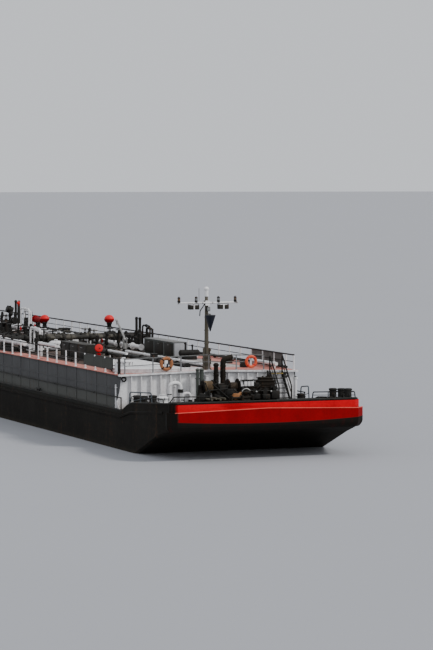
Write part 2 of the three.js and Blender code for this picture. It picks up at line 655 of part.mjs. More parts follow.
/** Two nested inverted U pipes on a base plate, with tall breather pipes behind them where asked for. */
function pumpRiser({ x, y, span, height, drop, breathers, feed }) {
  const foot = trunkTop(y);
  const base = [x - 0.3, x + (drop ? 0.45 : span + 0.3)];
  const parts = [block(base, [y - 0.3, y + 0.3], [foot - 0.1, foot + 0.08])];
  for (const [offset, lower] of [[-0.1, 0], [0.1, 0.16]]) {
    const top = foot + height - RISER_RADIUS - lower;
    parts.push(pipe([
      [x + lower, y + offset, foot], [x + lower, y + offset, top], [x + span - lower, y + offset, top],
      [x + span - lower, y + offset, drop ? foot + height - drop : foot],
    ], RISER_RADIUS, 0.2, 8, 3));
  }
  for (const before of breathers) {
    parts.push(bar([x - before, y, foot - 0.1], [x - before, y, foot + BREATHER_TOP], 0.08, 8));
    parts.push(bar([x - before, y, foot + 0.3], [x, y - 0.1, foot + 0.3], 0.05, 6));
  }
  if (feed) parts.push(bar([x - feed, y, foot + FEED_LIFT], [x, y, foot + FEED_LIFT], 0.12, 8));
  return onTrunk(join(parts));
}

const BREATHER_TOP = 1.98;
const RISER_RADIUS = 0.058;
const FEED_LIFT = 0.28;
// Pump risers. A drop ends the far legs in open mouths, that far below the top; a feed runs aft at the foot.
const PUMP_RISERS = {
  1: { x: 6.71, y: -3.5, span: 2.0, height: 1.55, drop: 0.4, breathers: [], feed: 15 },
  2: { x: -18.4, y: 3.6, span: 1.95, height: 1.55, breathers: [0.8, 1.6] },
  3: { x: 7.9, y: 3.6, span: 1.4, height: 1.6, breathers: [0.8, 1.46] },
};
add('vapour_line', vapourLine(), paint.pipeGrey);
for (const [name, sizes] of Object.entries(PUMP_RISERS)) {
  add(`pump_riser_${name}`, pumpRiser(sizes), paint.white);
}

/** A closed deck box that stands on the trunk's deck. */
function deckBox([x0, x1], [y0, y1], height) {
  const foot = trunkTop((y0 + y1) / 2);
  return onTrunk(block([x0, x1], [y0, y1], [foot - 0.2, foot + height]));
}

/** A low platform over the deck's fore end, with an opening round the tank hatch that stands in it. */
function platform(plan, height) {
  const low = Math.min(...plan.map(([, y]) => trunkTop(y)));
  const high = Math.max(...plan.map(([, y]) => trunkTop(y)));
  const [, x, y] = HATCHES[0];
  const opening = join([
    bar([x, y, low - 1], [x, y, high + 1], HATCH_RADIUS + 0.04, 16),
    block([x - HATCH_RADIUS - 0.16, x], [y - 0.09, y + 0.09], [low - 1, high + 1]),
  ]);
  return onTrunk(planPlate(plan, [low - 0.1, high + height]).subtract(opening));
}

const SCREEN_THICK = 0.04;
const SCREEN_Y = railY + RAIL_BAR + gapM;

/** A windbreak panel on the outside of a guard rail's posts, between two heights above the deck. */
function railScreen([x0, x1], side, [z0, z1]) {
  const foot = trunkTop(railY);
  const faces = [side * SCREEN_Y, side * (SCREEN_Y + SCREEN_THICK)].sort((a, b) => a - b);
  return block([x0, x1], faces, [foot + z0, foot + z1]);
}

// Plan of the low platform: x, y.
const PLATFORM = [
  [19.6, -1.22], [19.6, -3.0], [27.0, -5.0], [28.0, -5.0], [28.85, -3.4], [28.85, -0.32],
  [28.36, -0.32], [28.36, -1.22],
];

add('deck_platform', platform(PLATFORM, 0.12), paint.white);
add('starboard_screen', railScreen([22.75, 27.9], -1, [0.24, 0.84]), paint.greenGrey);
add('dark_locker', deckBox([12.7, 17.6], [-3.5, -2.8], 0.9), paint.darkGrey);
add('grey_locker', deckBox([12.1, 17.4], [2.15, 2.95], 0.92), paint.greenGrey);
add('port_screen', railScreen([22.2, 27.0], 1, [0.1, 0.82]), paint.darkGrey);

// Mast: a fixed tabernacle post and a pole that folds aft about a pin.

const MAST_X = 28.72;
const MAST_PIN_Z = 6.2;
const MAST_TOP_Z = 9.25;
const ARM_Z = 8.9;
const ARM_HALF = 1.83;
const ARM_X = MAST_X + 0.18;
const POLE_RADIUS = 0.13;
const POLE_SEAT = 0.12;
const CONE_TOP_Z = 8.24;
const CHEEK_INNER = 0.155;
const CHEEK_GAP = CHEEK_INNER - gapM;

/** The tabernacle: a foot plate, a post and two cheeks that hold the mast's pin. */
function tabernacle() {
  const foot = trunkTop(0);
  const parts = [
    block([MAST_X - 0.2, MAST_X + 0.15], [-0.25, 0.25], [foot - 0.1, foot + 0.04]),
    block([MAST_X - 0.11, MAST_X + 0.11], [-0.19, 0.19], [foot, MAST_PIN_Z - 0.32]),
  ];
  for (const y of [-CHEEK_INNER - 0.035, CHEEK_INNER]) {
    parts.push(block([MAST_X - 0.11, MAST_X + 0.11], [y, y + 0.035], [foot, MAST_PIN_Z + 0.12]));
  }
  return onTrunk(join(parts));
}

/** The mast pole with its heel between the cheeks, the cone's bracket and the horn's seat. */
function mastPole() {
  return join([
    bar([MAST_X, 0, MAST_PIN_Z - 0.2], [MAST_X, 0, MAST_TOP_Z], POLE_RADIUS, 12, 0.09),
    bar([MAST_X, -CHEEK_GAP, MAST_PIN_Z], [MAST_X, CHEEK_GAP, MAST_PIN_Z], 0.06, 8),
    bar([MAST_X, 0, CONE_TOP_Z + 0.03], [MAST_X + 0.64, 0, CONE_TOP_Z + 0.03], 0.03, 6),
    block([MAST_X - POLE_SEAT, MAST_X + POLE_SEAT], [-0.12, 0.12], [ARM_Z - 0.16, ARM_Z + 0.12]),
  ]);
}

/** The cross-arm with its four lanterns on top and its floodlights below. */
function mastArm() {
  const parts = [
    bar([ARM_X, -ARM_HALF, ARM_Z], [ARM_X, ARM_HALF, ARM_Z], 0.045, 8),
    block([MAST_X + POLE_SEAT + gapM, MAST_X + 0.2], [-0.12, 0.12], [ARM_Z - 0.16, ARM_Z + 0.12]),
  ];
  for (const y of [-1.73, -0.69, 0.66, 1.68]) {
    parts.push(bar([ARM_X, y, ARM_Z], [ARM_X, y, ARM_Z + 0.34], 0.07, 8));
  }
  for (const y of [-0.86, 0.93]) {
    parts.push(block([MAST_X + 0.08, MAST_X + 0.34], [y - 0.2, y + 0.2], [ARM_Z - 0.36, ARM_Z - 0.1]));
    parts.push(bar([ARM_X, y, ARM_Z - 0.2], [ARM_X, y, ARM_Z], 0.03, 6));
  }
  return join(parts);
}

add('mast_tabernacle', tabernacle(), paint.mastBrown);
add('mast_pole', mastPole(), paint.mastBrown);
add('mast_arm', mastArm(), paint.mastBrown);
add('mast_horn', turned([[0, 0], [0.12, 0], [0.12, 0.3], [0.07, 0.4], [0, 0.4]],
  [MAST_X, 0, MAST_TOP_Z + gapM], 10), paint.white);
const CONE = [[0, -0.96], [0.31, -0.02], [0.06, 0], [0, 0]];
add('day_cone', turned(CONE, [MAST_X + 0.6, 0, CONE_TOP_Z - gapM], 12), paint.coneBlue);

// Foredeck gear.

const deckAt = (x) => along(SHEER, x);

/** A plate that lies on the open deck and follows its rise between two stations. */
function deckStrip([x0, x1], [y0, y1], thick) {
  const stations = [x0, ...SHEER.map(([x]) => x).filter((x) => x > x0 && x < x1), x1];
  return loft(stations.map((x) => ({
    x,
    ring: [[y1, deckAt(x) - 0.1], [y1, deckAt(x) + thick], [y0, deckAt(x) + thick], [y0, deckAt(x) - 0.1]],
  })));
}

/** A row of mooring posts on one base plate. */
function bollards(posts, y) {
  const xs = posts.map(([x]) => x);
  const parts = [deckStrip([Math.min(...xs) - 0.28, Math.max(...xs) + 0.28], [y - 0.3, y + 0.3], 0.05)];
  for (const [x, height] of posts) {
    parts.push(bar([x, y, deckAt(x)], [x, y, deckAt(x) + height - 0.06], 0.2, 12));
    parts.push(bar([x, y, deckAt(x) + height - 0.08], [x, y, deckAt(x) + height], 0.225, 12));
  }
  return onHull(join(parts));
}

// Rows of mooring posts: name, y, then each post's x and height.
const BOLLARDS = [
  ['bollards_bow_starboard', -4.95, [[30.87, 0.6], [32.0, 0.38], [33.5, 0.42]]],
  ['bollards_bow_port', 4.95, [[35.4, 0.55], [36.6, 0.55], [37.5, 0.55]]],
  ['bollard_break_port', 4.95, [[30.75, 0.47]]],
  ['bollards_stern_starboard', -4.75, [[-35.6, 0.6], [-34.4, 0.6]]],
  ['bollards_stern_port', 4.75, [[-35.6, 0.6], [-34.4, 0.6]]],
];
for (const [name, y, posts] of BOLLARDS) add(name, bollards(posts, y), paint.black);

/** A low hoop rail along the deck edge, from its feet and the heights of its two top corners. */
function hoopRail([x0, x1], y, [z0, z1], legs) {
  const parts = [pipe([
    [x0, y, deckAt(x0) - 0.05], [x0 + 0.1, y, z0], [x1 - 0.1, y, z1], [x1, y, deckAt(x1) - 0.05],
  ], 0.038, 0.14, 6, 3)];
  for (const x of legs) {
    const top = z0 + ((z1 - z0) * (x - x0)) / (x1 - x0);
    parts.push(bar([x, y, deckAt(x) - 0.05], [x, y, top], 0.03, 6));
  }
  return onHull(join(parts));
}

// Hoop rails: name, y, ends, heights of the top corners, legs between.
const HOOPS = [
  ['hoop_rail_starboard', -5.35, [30.75, 34.45], [4.1, 4.3], [32.6]],
  ['hoop_rail_break', 5.32, [29.8, 31.1], [4.05, 4.16], []],
  ['hoop_rail_bow', 5.35, [31.5, 37.6], [3.86, 4.3], [33.8]],
];
for (const [name, y, ends, tops, legs] of HOOPS) add(name, hoopRail(ends, y, tops, legs), paint.black);

// Winch: a frame with two drums that turn on one line, and an engine box beside it.

const WINCH_X = 32.6;
const WINCH_Z = 4.4;
// Winch drums: name, middle y, half width, flange radius, rope radius.
const DRUMS = [['port', 0.09, 0.31, 0.4, 0.17], ['starboard', -1.41, 0.31, 0.36, 0.28]];
const STAND_THICK = 0.1;
const DRUM_TO_STAND = 0.08;
// Bearing stands: the y of each stand's starboard face.
const DRUM_STANDS = DRUMS.flatMap(([, middle, half]) => [
  [middle - half - DRUM_TO_STAND - STAND_THICK], [middle + half + DRUM_TO_STAND],
]);

/** The winch frame: bedplate, bearing stands and the gear case between the drums. */
function winchFrame() {
  const deck = deckAt(WINCH_X - 0.6);
  const parts = [block([WINCH_X - 0.6, WINCH_X + 0.6], [-1.98, 0.68], [deck - 0.1, deck + 0.16])];
  const top = WINCH_Z + 0.12;
  const stand = [[WINCH_X - 0.4, deck], [WINCH_X + 0.4, deck], [WINCH_X + 0.14, top], [WINCH_X - 0.14, top]];
  for (const [y] of DRUM_STANDS) parts.push(sidePlate(stand, [y, y + STAND_THICK]));
  parts.push(block([WINCH_X - 0.3, WINCH_X + 0.3], [-0.9, -0.4], [deck, WINCH_Z + 0.1]));
  return onHull(join(parts));
}

/** One drum: a barrel with a flange at each end and rope laid on it. */
function winchDrum(middle, half, radius, ropeRadius) {
  const reach = half + DRUM_TO_STAND - gapM;
  return join([
    bar([WINCH_X, middle - half, WINCH_Z], [WINCH_X, middle - half + 0.05, WINCH_Z], radius, 16),
    bar([WINCH_X, middle + half - 0.05, WINCH_Z], [WINCH_X, middle + half, WINCH_Z], radius, 16),
    bar([WINCH_X, middle - half, WINCH_Z], [WINCH_X, middle + half, WINCH_Z], ropeRadius, 16),
    bar([WINCH_X, middle - reach, WINCH_Z], [WINCH_X, middle + reach, WINCH_Z], 0.07, 8),
  ]);
}

add('winch_frame', winchFrame(), paint.black);
for (const [name, ...sizes] of DRUMS) add(`winch_drum_${name}`, winchDrum(...sizes), paint.rope);

/** The winch's engine: bed, block, cover, pump, shaft housing, and a panel on a post under a hoop. */
function winchEngine() {
  const deck = deckAt(32.0);
  const panelX = 33.0;
  return onHull(join([
    block([32.0, 33.2], [0.75, 2.5], [deck - 0.1, deck + 0.2]),
    block([32.3, 33.1], [1.56, 2.42], [deck + 0.1, 4.68]),
    block([32.42, 33.0], [1.64, 2.34], [4.65, 4.84]),
    block([32.3, 32.9], [1.0, 1.4], [deck + 0.1, 4.05]),
    bar([WINCH_X, 0.8, WINCH_Z - 0.22], [WINCH_X, 1.6, WINCH_Z - 0.22], 0.17, 10),
    block([panelX, panelX + 0.05], [0.46, 1.26], [4.26, 4.64]),
    block([panelX, panelX + 0.05], [0.9, 1.06], [deck + 0.1, 4.3]),
    pipe([[panelX + 0.02, 0.5, 4.6], [panelX + 0.02, 0.5, 4.72], [panelX + 0.02, 1.22, 4.72],
      [panelX + 0.02, 1.22, 4.6]], 0.024, 0.06, 6, 2),
    bar([32.6, 2.2, 4.8], [32.6, 2.2, 5.0], 0.07, 8),
  ]));
}

add('winch_engine', winchEngine(), paint.darkGrey);

// The stairs' two strings.
const STAIR_Y = [3.62, 4.38];
const STAIR_TREADS = 6;

/** Stairs from the foredeck up to the trunk's deck: two strings, flat treads and two handrails. */
function stairs() {
  const [bottomX, topX] = [30.75, 29.3];
  const [bottomZ, topZ] = [deckAt(30.75), trunkTop(4)];
  const parts = [];
  for (const y of STAIR_Y) {
    parts.push(pipe([
      [bottomX, y, bottomZ], [bottomX, y, bottomZ + 0.95],
      [topX + 0.05, y, topZ + RAIL_HEIGHT], [topX + 0.05, y, topZ - 0.1],
    ], 0.036, 0.14, 6, 3));
    parts.push(sidePlate([
      [bottomX - 0.12, bottomZ - 0.1], [bottomX + 0.12, bottomZ - 0.1], [topX + 0.12, topZ],
      [topX - 0.02, topZ], [topX - 0.02, topZ - 0.3],
    ], [y - 0.02, y + 0.02]));
  }
  for (let i = 1; i <= STAIR_TREADS; i += 1) {
    const t = i / (STAIR_TREADS + 0.6);
    const x = bottomX + (topX - bottomX) * t;
    const z = bottomZ + (topZ - bottomZ) * t;
    parts.push(block([x - 0.13, x + 0.11], STAIR_Y, [z - 0.03, z]));
  }
  return onHull(join(parts));
}

add('stairs_fore', stairs(), paint.white);

/** A gooseneck air pipe that rises from the deck and turns over to a down-facing mouth. */
function gooseneck(x, y, reach, height, radius) {
  const foot = deckAt(x);
  return onHull(pipe([
    [x, y, foot - 0.1], [x, y, foot + height],
    [x, y + reach, foot + height], [x, y + reach, foot + height - 0.55],
  ], radius, reach * 0.45, 10, 4));
}

add('gooseneck_1', gooseneck(29.7, -2.6, 0.66, 1.45, 0.12), paint.white);
add('gooseneck_2', gooseneck(30.05, -1.93, 0.45, 0.86, 0.09), paint.white);

// The x of the upright pipes in front of the bulkhead.
const STACK_X = 29.6;

/** A foot plate for upright pipes in front of the bulkhead. */
function stackFoot([y0, y1]) {
  const deck = deckAt(STACK_X);
  return block([STACK_X - 0.2, STACK_X + 0.2], [y0, y1], [deck - 0.1, deck + 0.1]);
}

// Vent pipes: y, radius.
const VENTS = [[-0.88, 0.085], [-0.63, 0.115]];
const VENT_TOP_Z = 5.12;

/** The two vent pipes. */
function vents() {
  const pipes = VENTS.map(([y, radius]) => (
    bar([STACK_X, y, deckAt(STACK_X)], [STACK_X, y, VENT_TOP_Z], radius, 10)));
  return onHull(join([stackFoot([-1.05, -0.45]), ...pipes]));
}

/** The two exhausts: a short straight one and a tall one whose end is bent to port. */
function exhausts() {
  const deck = deckAt(STACK_X);
  return onHull(join([
    stackFoot([0.08, 0.9]),
    bar([STACK_X, 0.24, deck], [STACK_X, 0.24, 5.25], 0.1, 10),
    pipe([[STACK_X, 0.66, deck], [STACK_X, 0.66, 5.7], [STACK_X, 1.18, 5.82]], 0.16, 0.2, 10, 4),
  ]));
}

add('vent_stacks', vents(), paint.greenGrey);
add('exhaust_stacks', exhausts(), paint.black);

/** A cabinet on a post in front of the bulkhead. */
function cabinet() {
  return onHull(join([
    block([29.22, 29.42], [-0.32, 0.24], [4.2, 4.8]), block([29.3, 29.4], [-0.1, 0.0], [2.9, 4.25]),
  ]));
}

/** A capped post at the bulkhead's port end. */
function pedestal() {
  const [x, y, top] = [29.45, 5.15, 4.57];
  const post = bar([x, y, 2.9], [x, y, top - 0.05], 0.1, 12);
  const cap = bar([x, y, top - 0.1], [x, y, top], 0.14, 12);
  return onHull(join([post, cap]));
}

add('bulkhead_cabinet', cabinet(), paint.white);
add('port_pedestal', pedestal(), paint.white);

/** A low round escape hatch with a lifting hoop on its lid. */
function escapeHatch(x, y) {
  const deck = deckAt(x);
  const hoop = pipe([
    [x, y - 0.2, deck + 0.3], [x, y - 0.2, deck + 0.46], [x, y + 0.2, deck + 0.46], [x, y + 0.2, deck + 0.3],
  ], 0.02, 0.08, 6, 2);
  return onHull(join([
    bar([x, y, deck - 0.1], [x, y, deck + 0.26], 0.28, 16),
    turned([[0, 0.24], [0.33, 0.24], [0.33, 0.3], [0.2, 0.36], [0, 0.38]], [x, y, deck], 16), hoop,
  ]));
}

add('foredeck_hatch', escapeHatch(33.0, -4.2), paint.white);

// Loading hose davit: a post that slews and a boom that lifts.

const DAVIT = { x: 11.4, y: 1.1 };
const DAVIT_FOOT_Z = trunkTop(DAVIT.y) + 0.22;
const BOOM_PIN_Z = trunkTop(DAVIT.y) + 0.82;
// The boom's tip, measured from its pin along x and z.
const BOOM_TIP = [-1.6, 1.1];
const FORK_INNER = 0.075;

/** The davit's fixed socket. */
function davitSocket() {
  const foot = trunkTop(DAVIT.y);
  return onTrunk(join([
    bar([DAVIT.x, DAVIT.y, foot - 0.1], [DAVIT.x, DAVIT.y, DAVIT_FOOT_Z - gapM], 0.17, 12),
    bar([DAVIT.x, DAVIT.y, foot - 0.1], [DAVIT.x, DAVIT.y, foot + 0.05], 0.26, 12),
  ]));
}

/** The davit's post with its boom fork. */
function davitPost() {
  const cheeks = [-0.12, FORK_INNER].map((y) => block([DAVIT.x - 0.09, DAVIT.x + 0.09],
    [DAVIT.y + y, DAVIT.y + y + 0.045], [BOOM_PIN_Z - 0.35, BOOM_PIN_Z + 0.12]));
  const column = bar([DAVIT.x, DAVIT.y, DAVIT_FOOT_Z], [DAVIT.x, DAVIT.y, BOOM_PIN_Z - 0.25], 0.12, 12);
  return join([column, ...cheeks]);
}

/** The davit's boom with its pin and the eye at its tip. */
function davitBoom() {
  const tip = [DAVIT.x + BOOM_TIP[0], DAVIT.y, BOOM_PIN_Z + BOOM_TIP[1]];
  const pin = FORK_INNER - gapM;
  return join([
    bar([DAVIT.x, DAVIT.y, BOOM_PIN_Z], tip, 0.06, 8),
    bar([DAVIT.x, DAVIT.y - pin, BOOM_PIN_Z], [DAVIT.x, DAVIT.y + pin, BOOM_PIN_Z], 0.06, 8),
    bar(tip, [tip[0], tip[1], tip[2] - 0.18], 0.04, 8),
  ]);
}

add('davit_socket', davitSocket(), paint.darkGrey);
add('davit_post', davitPost(), paint.steel);
add('davit_boom', davitBoom(), paint.steel);

// Afterdeck: a small pump house with a hinged door.

const HOUSE = { x: [-34.9, -32.2], y: [-1.6, 1.6], top: 5.5 };
const DOOR = { y: [-0.4, 0.4], top: 5.3, sill: 3.62 };
const HOUSE_WALL = 0.05;
// The room's level floor, over the sloping deck.
const HOUSE_FLOOR_Z = 3.6;

/** The hollow pump house with its level floor and its doorway in the aft wall. */
function pumpHouse() {
  const shell = block(HOUSE.x, HOUSE.y, [2.8, HOUSE.top]).subtract(block(
    [HOUSE.x[0] + HOUSE_WALL, HOUSE.x[1] - HOUSE_WALL], [HOUSE.y[0] + HOUSE_WALL, HOUSE.y[1] - HOUSE_WALL],
    [2.5, HOUSE.top - HOUSE_WALL],
  ));
  const floor = block(HOUSE.x, HOUSE.y, [HOUSE_FLOOR_Z - HOUSE_WALL, HOUSE_FLOOR_Z]);
  const doorway = block([HOUSE.x[0] - 0.1, HOUSE.x[0] + 0.2], [DOOR.y[0], DOOR.y[1]], [DOOR.sill, DOOR.top]);
  return onHull(join([shell, floor]).subtract(doorway));
}

add('pump_house', pumpHouse(), paint.white);
add('pump_house_door', block([HOUSE.x[0] - 0.045, HOUSE.x[0] - gapM], [DOOR.y[0] - 0.04, DOOR.y[1] + 0.04],
  [DOOR.sill - 0.04, DOOR.top + 0.04]), paint.white);

export default barge;
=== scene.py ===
"""Finishes, fittings, floor, lights and camera for the half-size river tank barge.

Sizes are written in the full-size barge's metres. Workpiece.finish halves them on the way to the scene.
X runs forward to the bow, Y to port and Z up from the flat bottom.
"""
import logging
import math
from dataclasses import dataclass
from enum import Enum
from typing import Iterable, Sequence, Union

import bmesh
import bpy
from mathutils import Matrix, Vector


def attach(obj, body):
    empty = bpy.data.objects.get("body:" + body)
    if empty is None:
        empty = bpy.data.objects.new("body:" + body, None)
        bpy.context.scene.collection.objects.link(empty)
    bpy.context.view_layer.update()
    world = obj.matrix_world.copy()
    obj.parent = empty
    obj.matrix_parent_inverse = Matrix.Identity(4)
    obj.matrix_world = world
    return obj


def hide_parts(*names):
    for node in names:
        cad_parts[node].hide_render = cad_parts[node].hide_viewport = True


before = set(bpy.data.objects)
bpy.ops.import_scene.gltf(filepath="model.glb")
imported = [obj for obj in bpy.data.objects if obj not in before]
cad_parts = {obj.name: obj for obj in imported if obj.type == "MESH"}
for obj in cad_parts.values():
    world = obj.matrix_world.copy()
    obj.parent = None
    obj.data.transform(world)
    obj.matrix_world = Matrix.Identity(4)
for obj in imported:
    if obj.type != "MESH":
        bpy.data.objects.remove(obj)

log = logging.getLogger("river_barge")

SCALE = 0.5
Point = tuple[float, float, float]
Colour = tuple[float, float, float]
Value = Union["Wire", float, int]

SHEER = [(-38.0, 3.6), (-35.4, 3.45), (-33.9, 3.34), (-33.0, 3.1), (-32.6, 3.0),
         (30.0, 3.0), (30.4, 3.1), (31.0, 3.34), (31.8, 3.55), (38.0, 3.94)]
PLAN = [(-38.0, 5.2), (-37.5, 5.5), (-36.0, 5.64), (36.0, 5.64), (37.65, 5.5), (38.0, 5.15)]
TRUNK_FRONT = 29.0
TRUNK_AFT = -31.0
TRUNK_HALF = 5.42
RAIL_Y = 5.30
RAIL_FRONT = 28.96
RAIL_AFT = -30.96
RAIL_TOP = 0.85
RIDGE_Z = 5.06
DECK_FALL = 0.14
DECK_PLATE = 0.03
HANDRAIL_Y = 5.55
STOOL_PITCH = 3.05
SHARP_EDGE = math.radians(35)
BEND_STEPS = 3
FLANGE_REACH = 1.6
BOLT_CIRCLE = 1.35

ALONG = (1, 0, 0)
ACROSS = (0, 1, 0)
UP = (0, 0, 1)


def along(table: Sequence[tuple[float, float]], x: float) -> float:
    """Read a table of (position, value) rows at a position.

    Args:
        table: Rows in rising order of position.
        x: The position to read at.

    Returns:
        The value there, straight between rows.
    """
    for (x0, v0), (x1, v1) in zip(table, table[1:]):
        if x <= x1:
            return v0 + (v1 - v0) * max(0.0, x - x0) / (x1 - x0)
    return table[-1][1]


def deck_z(y: float) -> float:
    """Height of the trunk's deck plate at a distance from the centreline."""
    return RIDGE_Z - DECK_FALL * abs(y) / TRUNK_HALF + DECK_PLATE


def sheer_z(x: float) -> float:
    """Height of the open deck at a station."""
    return along(SHEER, x)


# Shader building.


class Wire:
    """A shader socket that takes part in sums; each operator adds one Math node."""

    def __init__(self, shop: "ShaderShop", socket: bpy.types.NodeSocket) -> None:
        """Hold the socket and the shop that adds nodes after it."""
        self.shop = shop
        self.socket = socket

    def _sum(self, operation: str, first: Value, second: Value = 0.0) -> "Wire":
        """Add a Math node over two values."""
        return self.shop.node("ShaderNodeMath", {"operation": operation}, {0: first, 1: second})

    def __add__(self, other: Value) -> "Wire":
        """Return self + other."""
        return self._sum("ADD", self, other)

    def __sub__(self, other: Value) -> "Wire":
        """Return self - other."""
        return self._sum("SUBTRACT", self, other)

    def __rsub__(self, other: Value) -> "Wire":
        """Return other - self."""
        return self._sum("SUBTRACT", other, self)

    def __mul__(self, other: Value) -> "Wire":
        """Return self * other."""
        return self._sum("MULTIPLY", self, other)

    def __truediv__(self, other: Value) -> "Wire":
        """Return self / other."""
        return self._sum("DIVIDE", self, other)

    def __abs__(self) -> "Wire":
        """Return the size of self."""
        return self._sum("ABSOLUTE", self)

    def fraction(self) -> "Wire":
        """Return the part of self after the point."""
        return self._sum("FRACT", self)

    def rise(self, low: float, high: float) -> "Wire":
        """Go smoothly from 0 to 1 as self goes from low to high."""
        return self.shop.node("ShaderNodeMapRange", {"interpolation_type": "SMOOTHSTEP"},
                              {0: self, 1: low, 2: high, 3: 0.0, 4: 1.0})


class ShaderShop:
    """Builds the node tree of one material."""

    def __init__(self, name: str) -> None:
        """Start an empty material with object coordinates in full-size metres."""
        self.material = bpy.data.materials.new(name)
        self.material.use_nodes = True
        self.tree = self.material.node_tree
        self.tree.nodes.clear()
        place = self.node("ShaderNodeTexCoord", {}, {}, "Object")
        self.place = self.node("ShaderNodeVectorMath", {"operation": "SCALE"},
                               {0: place, "Scale": 1.0 / SCALE})
        self.x = self.node("ShaderNodeSeparateXYZ", {}, {0: self.place}, 0)
        self.y = self.node("ShaderNodeSeparateXYZ", {}, {0: self.place}, 1)
        self.z = self.node("ShaderNodeSeparateXYZ", {}, {0: self.place}, 2)

    def node(self, kind: str, settings: dict[str, str], inputs: dict[Union[int, str], object],
             output: Union[int, str] = 0) -> Wire:
        """Add one node.

        Args:
            kind: The node's type name.
            settings: Attributes to set before anything else.
            inputs: Values or wires by socket name or number.
            output: The socket to return.

        Returns:
            The chosen output as a wire.
        """
        made = self.tree.nodes.new(kind)
        for key, value in settings.items():
            setattr(made, key, value)
        for key, value in inputs.items():
            if isinstance(value, Wire):
                self.tree.links.new(value.socket, made.inputs[key])
            else:
                made.inputs[key].default_value = value
        return Wire(self, made.outputs[output])

    def noise(self, scale: float, detail: float = 3.0, stretch: Point = (1, 1, 1), seed: float = 0.0) -> Wire:
        """Cloudy noise between 0 and 1, with its features drawn out along the small axes of stretch."""
        spot = self.node("ShaderNodeMapping", {},
                         {0: self.place, "Scale": stretch, "Location": (seed, seed, 0)})
        return self.node("ShaderNodeTexNoise", {}, {"Vector": spot, "Scale": scale, "Detail": detail,
                                                    "Roughness": 0.6})

    def seam(self, across: Wire, pitch: float, width: float, start: float = 0.0) -> Wire:
        """Return 1 on thin lines a pitch apart and 0 between them."""
        off = abs(((across - start) / pitch + 0.5).fraction() - 0.5) * pitch
        return 1 - off.rise(width * 0.4, width)

    def mix(self, factor: Value, first: Union[Wire, Colour], second: Union[Wire, Colour]) -> Wire:
        """Blend two colours."""
        ends = [c if isinstance(c, Wire) else (*c, 1.0) for c in (first, second)]
        return self.node("ShaderNodeMix", {"data_type": "RGBA"}, {0: factor, 6: ends[0], 7: ends[1]}, 2)

    def facing_up(self) -> Wire:
        """Return 1 on faces that lie flat and 0 on upright ones."""
        normal = self.node("ShaderNodeNewGeometry", {}, {}, "Normal")
        return self.node("ShaderNodeSeparateXYZ", {}, {0: normal}, 2).rise(0.55, 0.9)

    def close(self, colour: Union[Wire, Colour], roughness: Value, height: Union[Wire, None] = None,
              depth: float = 0.002, **gloss: float) -> bpy.types.Material:
        """Finish with one surface shader.

        Args:
            colour: The surface's colour.
            roughness: Its roughness.
            height: A relief between 0 and 1, or None for a plain surface.
            depth: How deep that relief is, in metres.
            gloss: Fixed values for other sockets of the shader.

        Returns:
            The finished material.
        """
        values = {"Base Color": colour if isinstance(colour, Wire) else (*colour, 1.0),
                  "Roughness": roughness}
        if height is not None:
            values["Normal"] = self.node("ShaderNodeBump", {}, {"Height": height, "Distance": depth})
        values.update({key.replace("_", " "): value for key, value in gloss.items()})
        shader = self.node("ShaderNodeBsdfPrincipled", {}, values)
        end = self.tree.nodes.new("ShaderNodeOutputMaterial")
        self.tree.links.new(shader.socket, end.inputs[0])
        return self.material


# Finishes. Colours are linear; the sizes of marks are in full-size metres.

DUST = (0.19, 0.18, 0.155)
RUST = (0.16, 0.055, 0.02)


@dataclass(frozen=True)
class Paint:
    """Weathered paint on steel."""

    colour: Colour
    faded: Colour
    roughness: float = 0.5
    dirt: Colour = (0.05, 0.045, 0.035)
    streaks: float = 0.35
    rust: float = 0.15
    dust: float = 0.35
    grain: float = 7.0
    relief: float = 0.0015
    metallic: float = 0.0
    shine: float = 0.3

    def mark(self, shop: ShaderShop, base: Wire) -> Wire:
        """Draw the marks that one paint alone has; plain paint has none."""
        return base

    def build(self, name: str) -> bpy.types.Material:
        """Make the material.

        Args:
            name: The material's name.

        Returns:
            The material, with clouded colour, run marks, rust spots, dust and a fine relief.
        """
        shop = ShaderShop(name)
        cloud = shop.noise(0.6, 4.0)
        fine = shop.noise(self.grain, 5.0)
        runs = shop.noise(2.4, 4.0, (1, 1, 0.1), 3.7)
        base = shop.mix(cloud.rise(0.32, 0.68), self.colour, self.faded)
        base = shop.mix(fine.rise(0.35, 0.8) * 0.25, base, self.dirt)
        base = self.mark(shop, base)
        base = shop.mix(runs.rise(0.5, 0.78) * self.streaks, base, self.dirt)
        rusty = (fine * 0.5 + runs * 0.6).rise(0.62, 0.7) * self.rust
        base = shop.mix(rusty, base, RUST)
        base = shop.mix(shop.facing_up() * (cloud * 0.6 + 0.4) * self.dust, base, DUST)
        rough = fine * 0.18 + (self.roughness - 0.09) + rusty * 0.3
        return shop.close(base, rough, fine + runs * 0.4, self.relief, Metallic=self.metallic,
                          Specular_IOR_Level=self.shine)


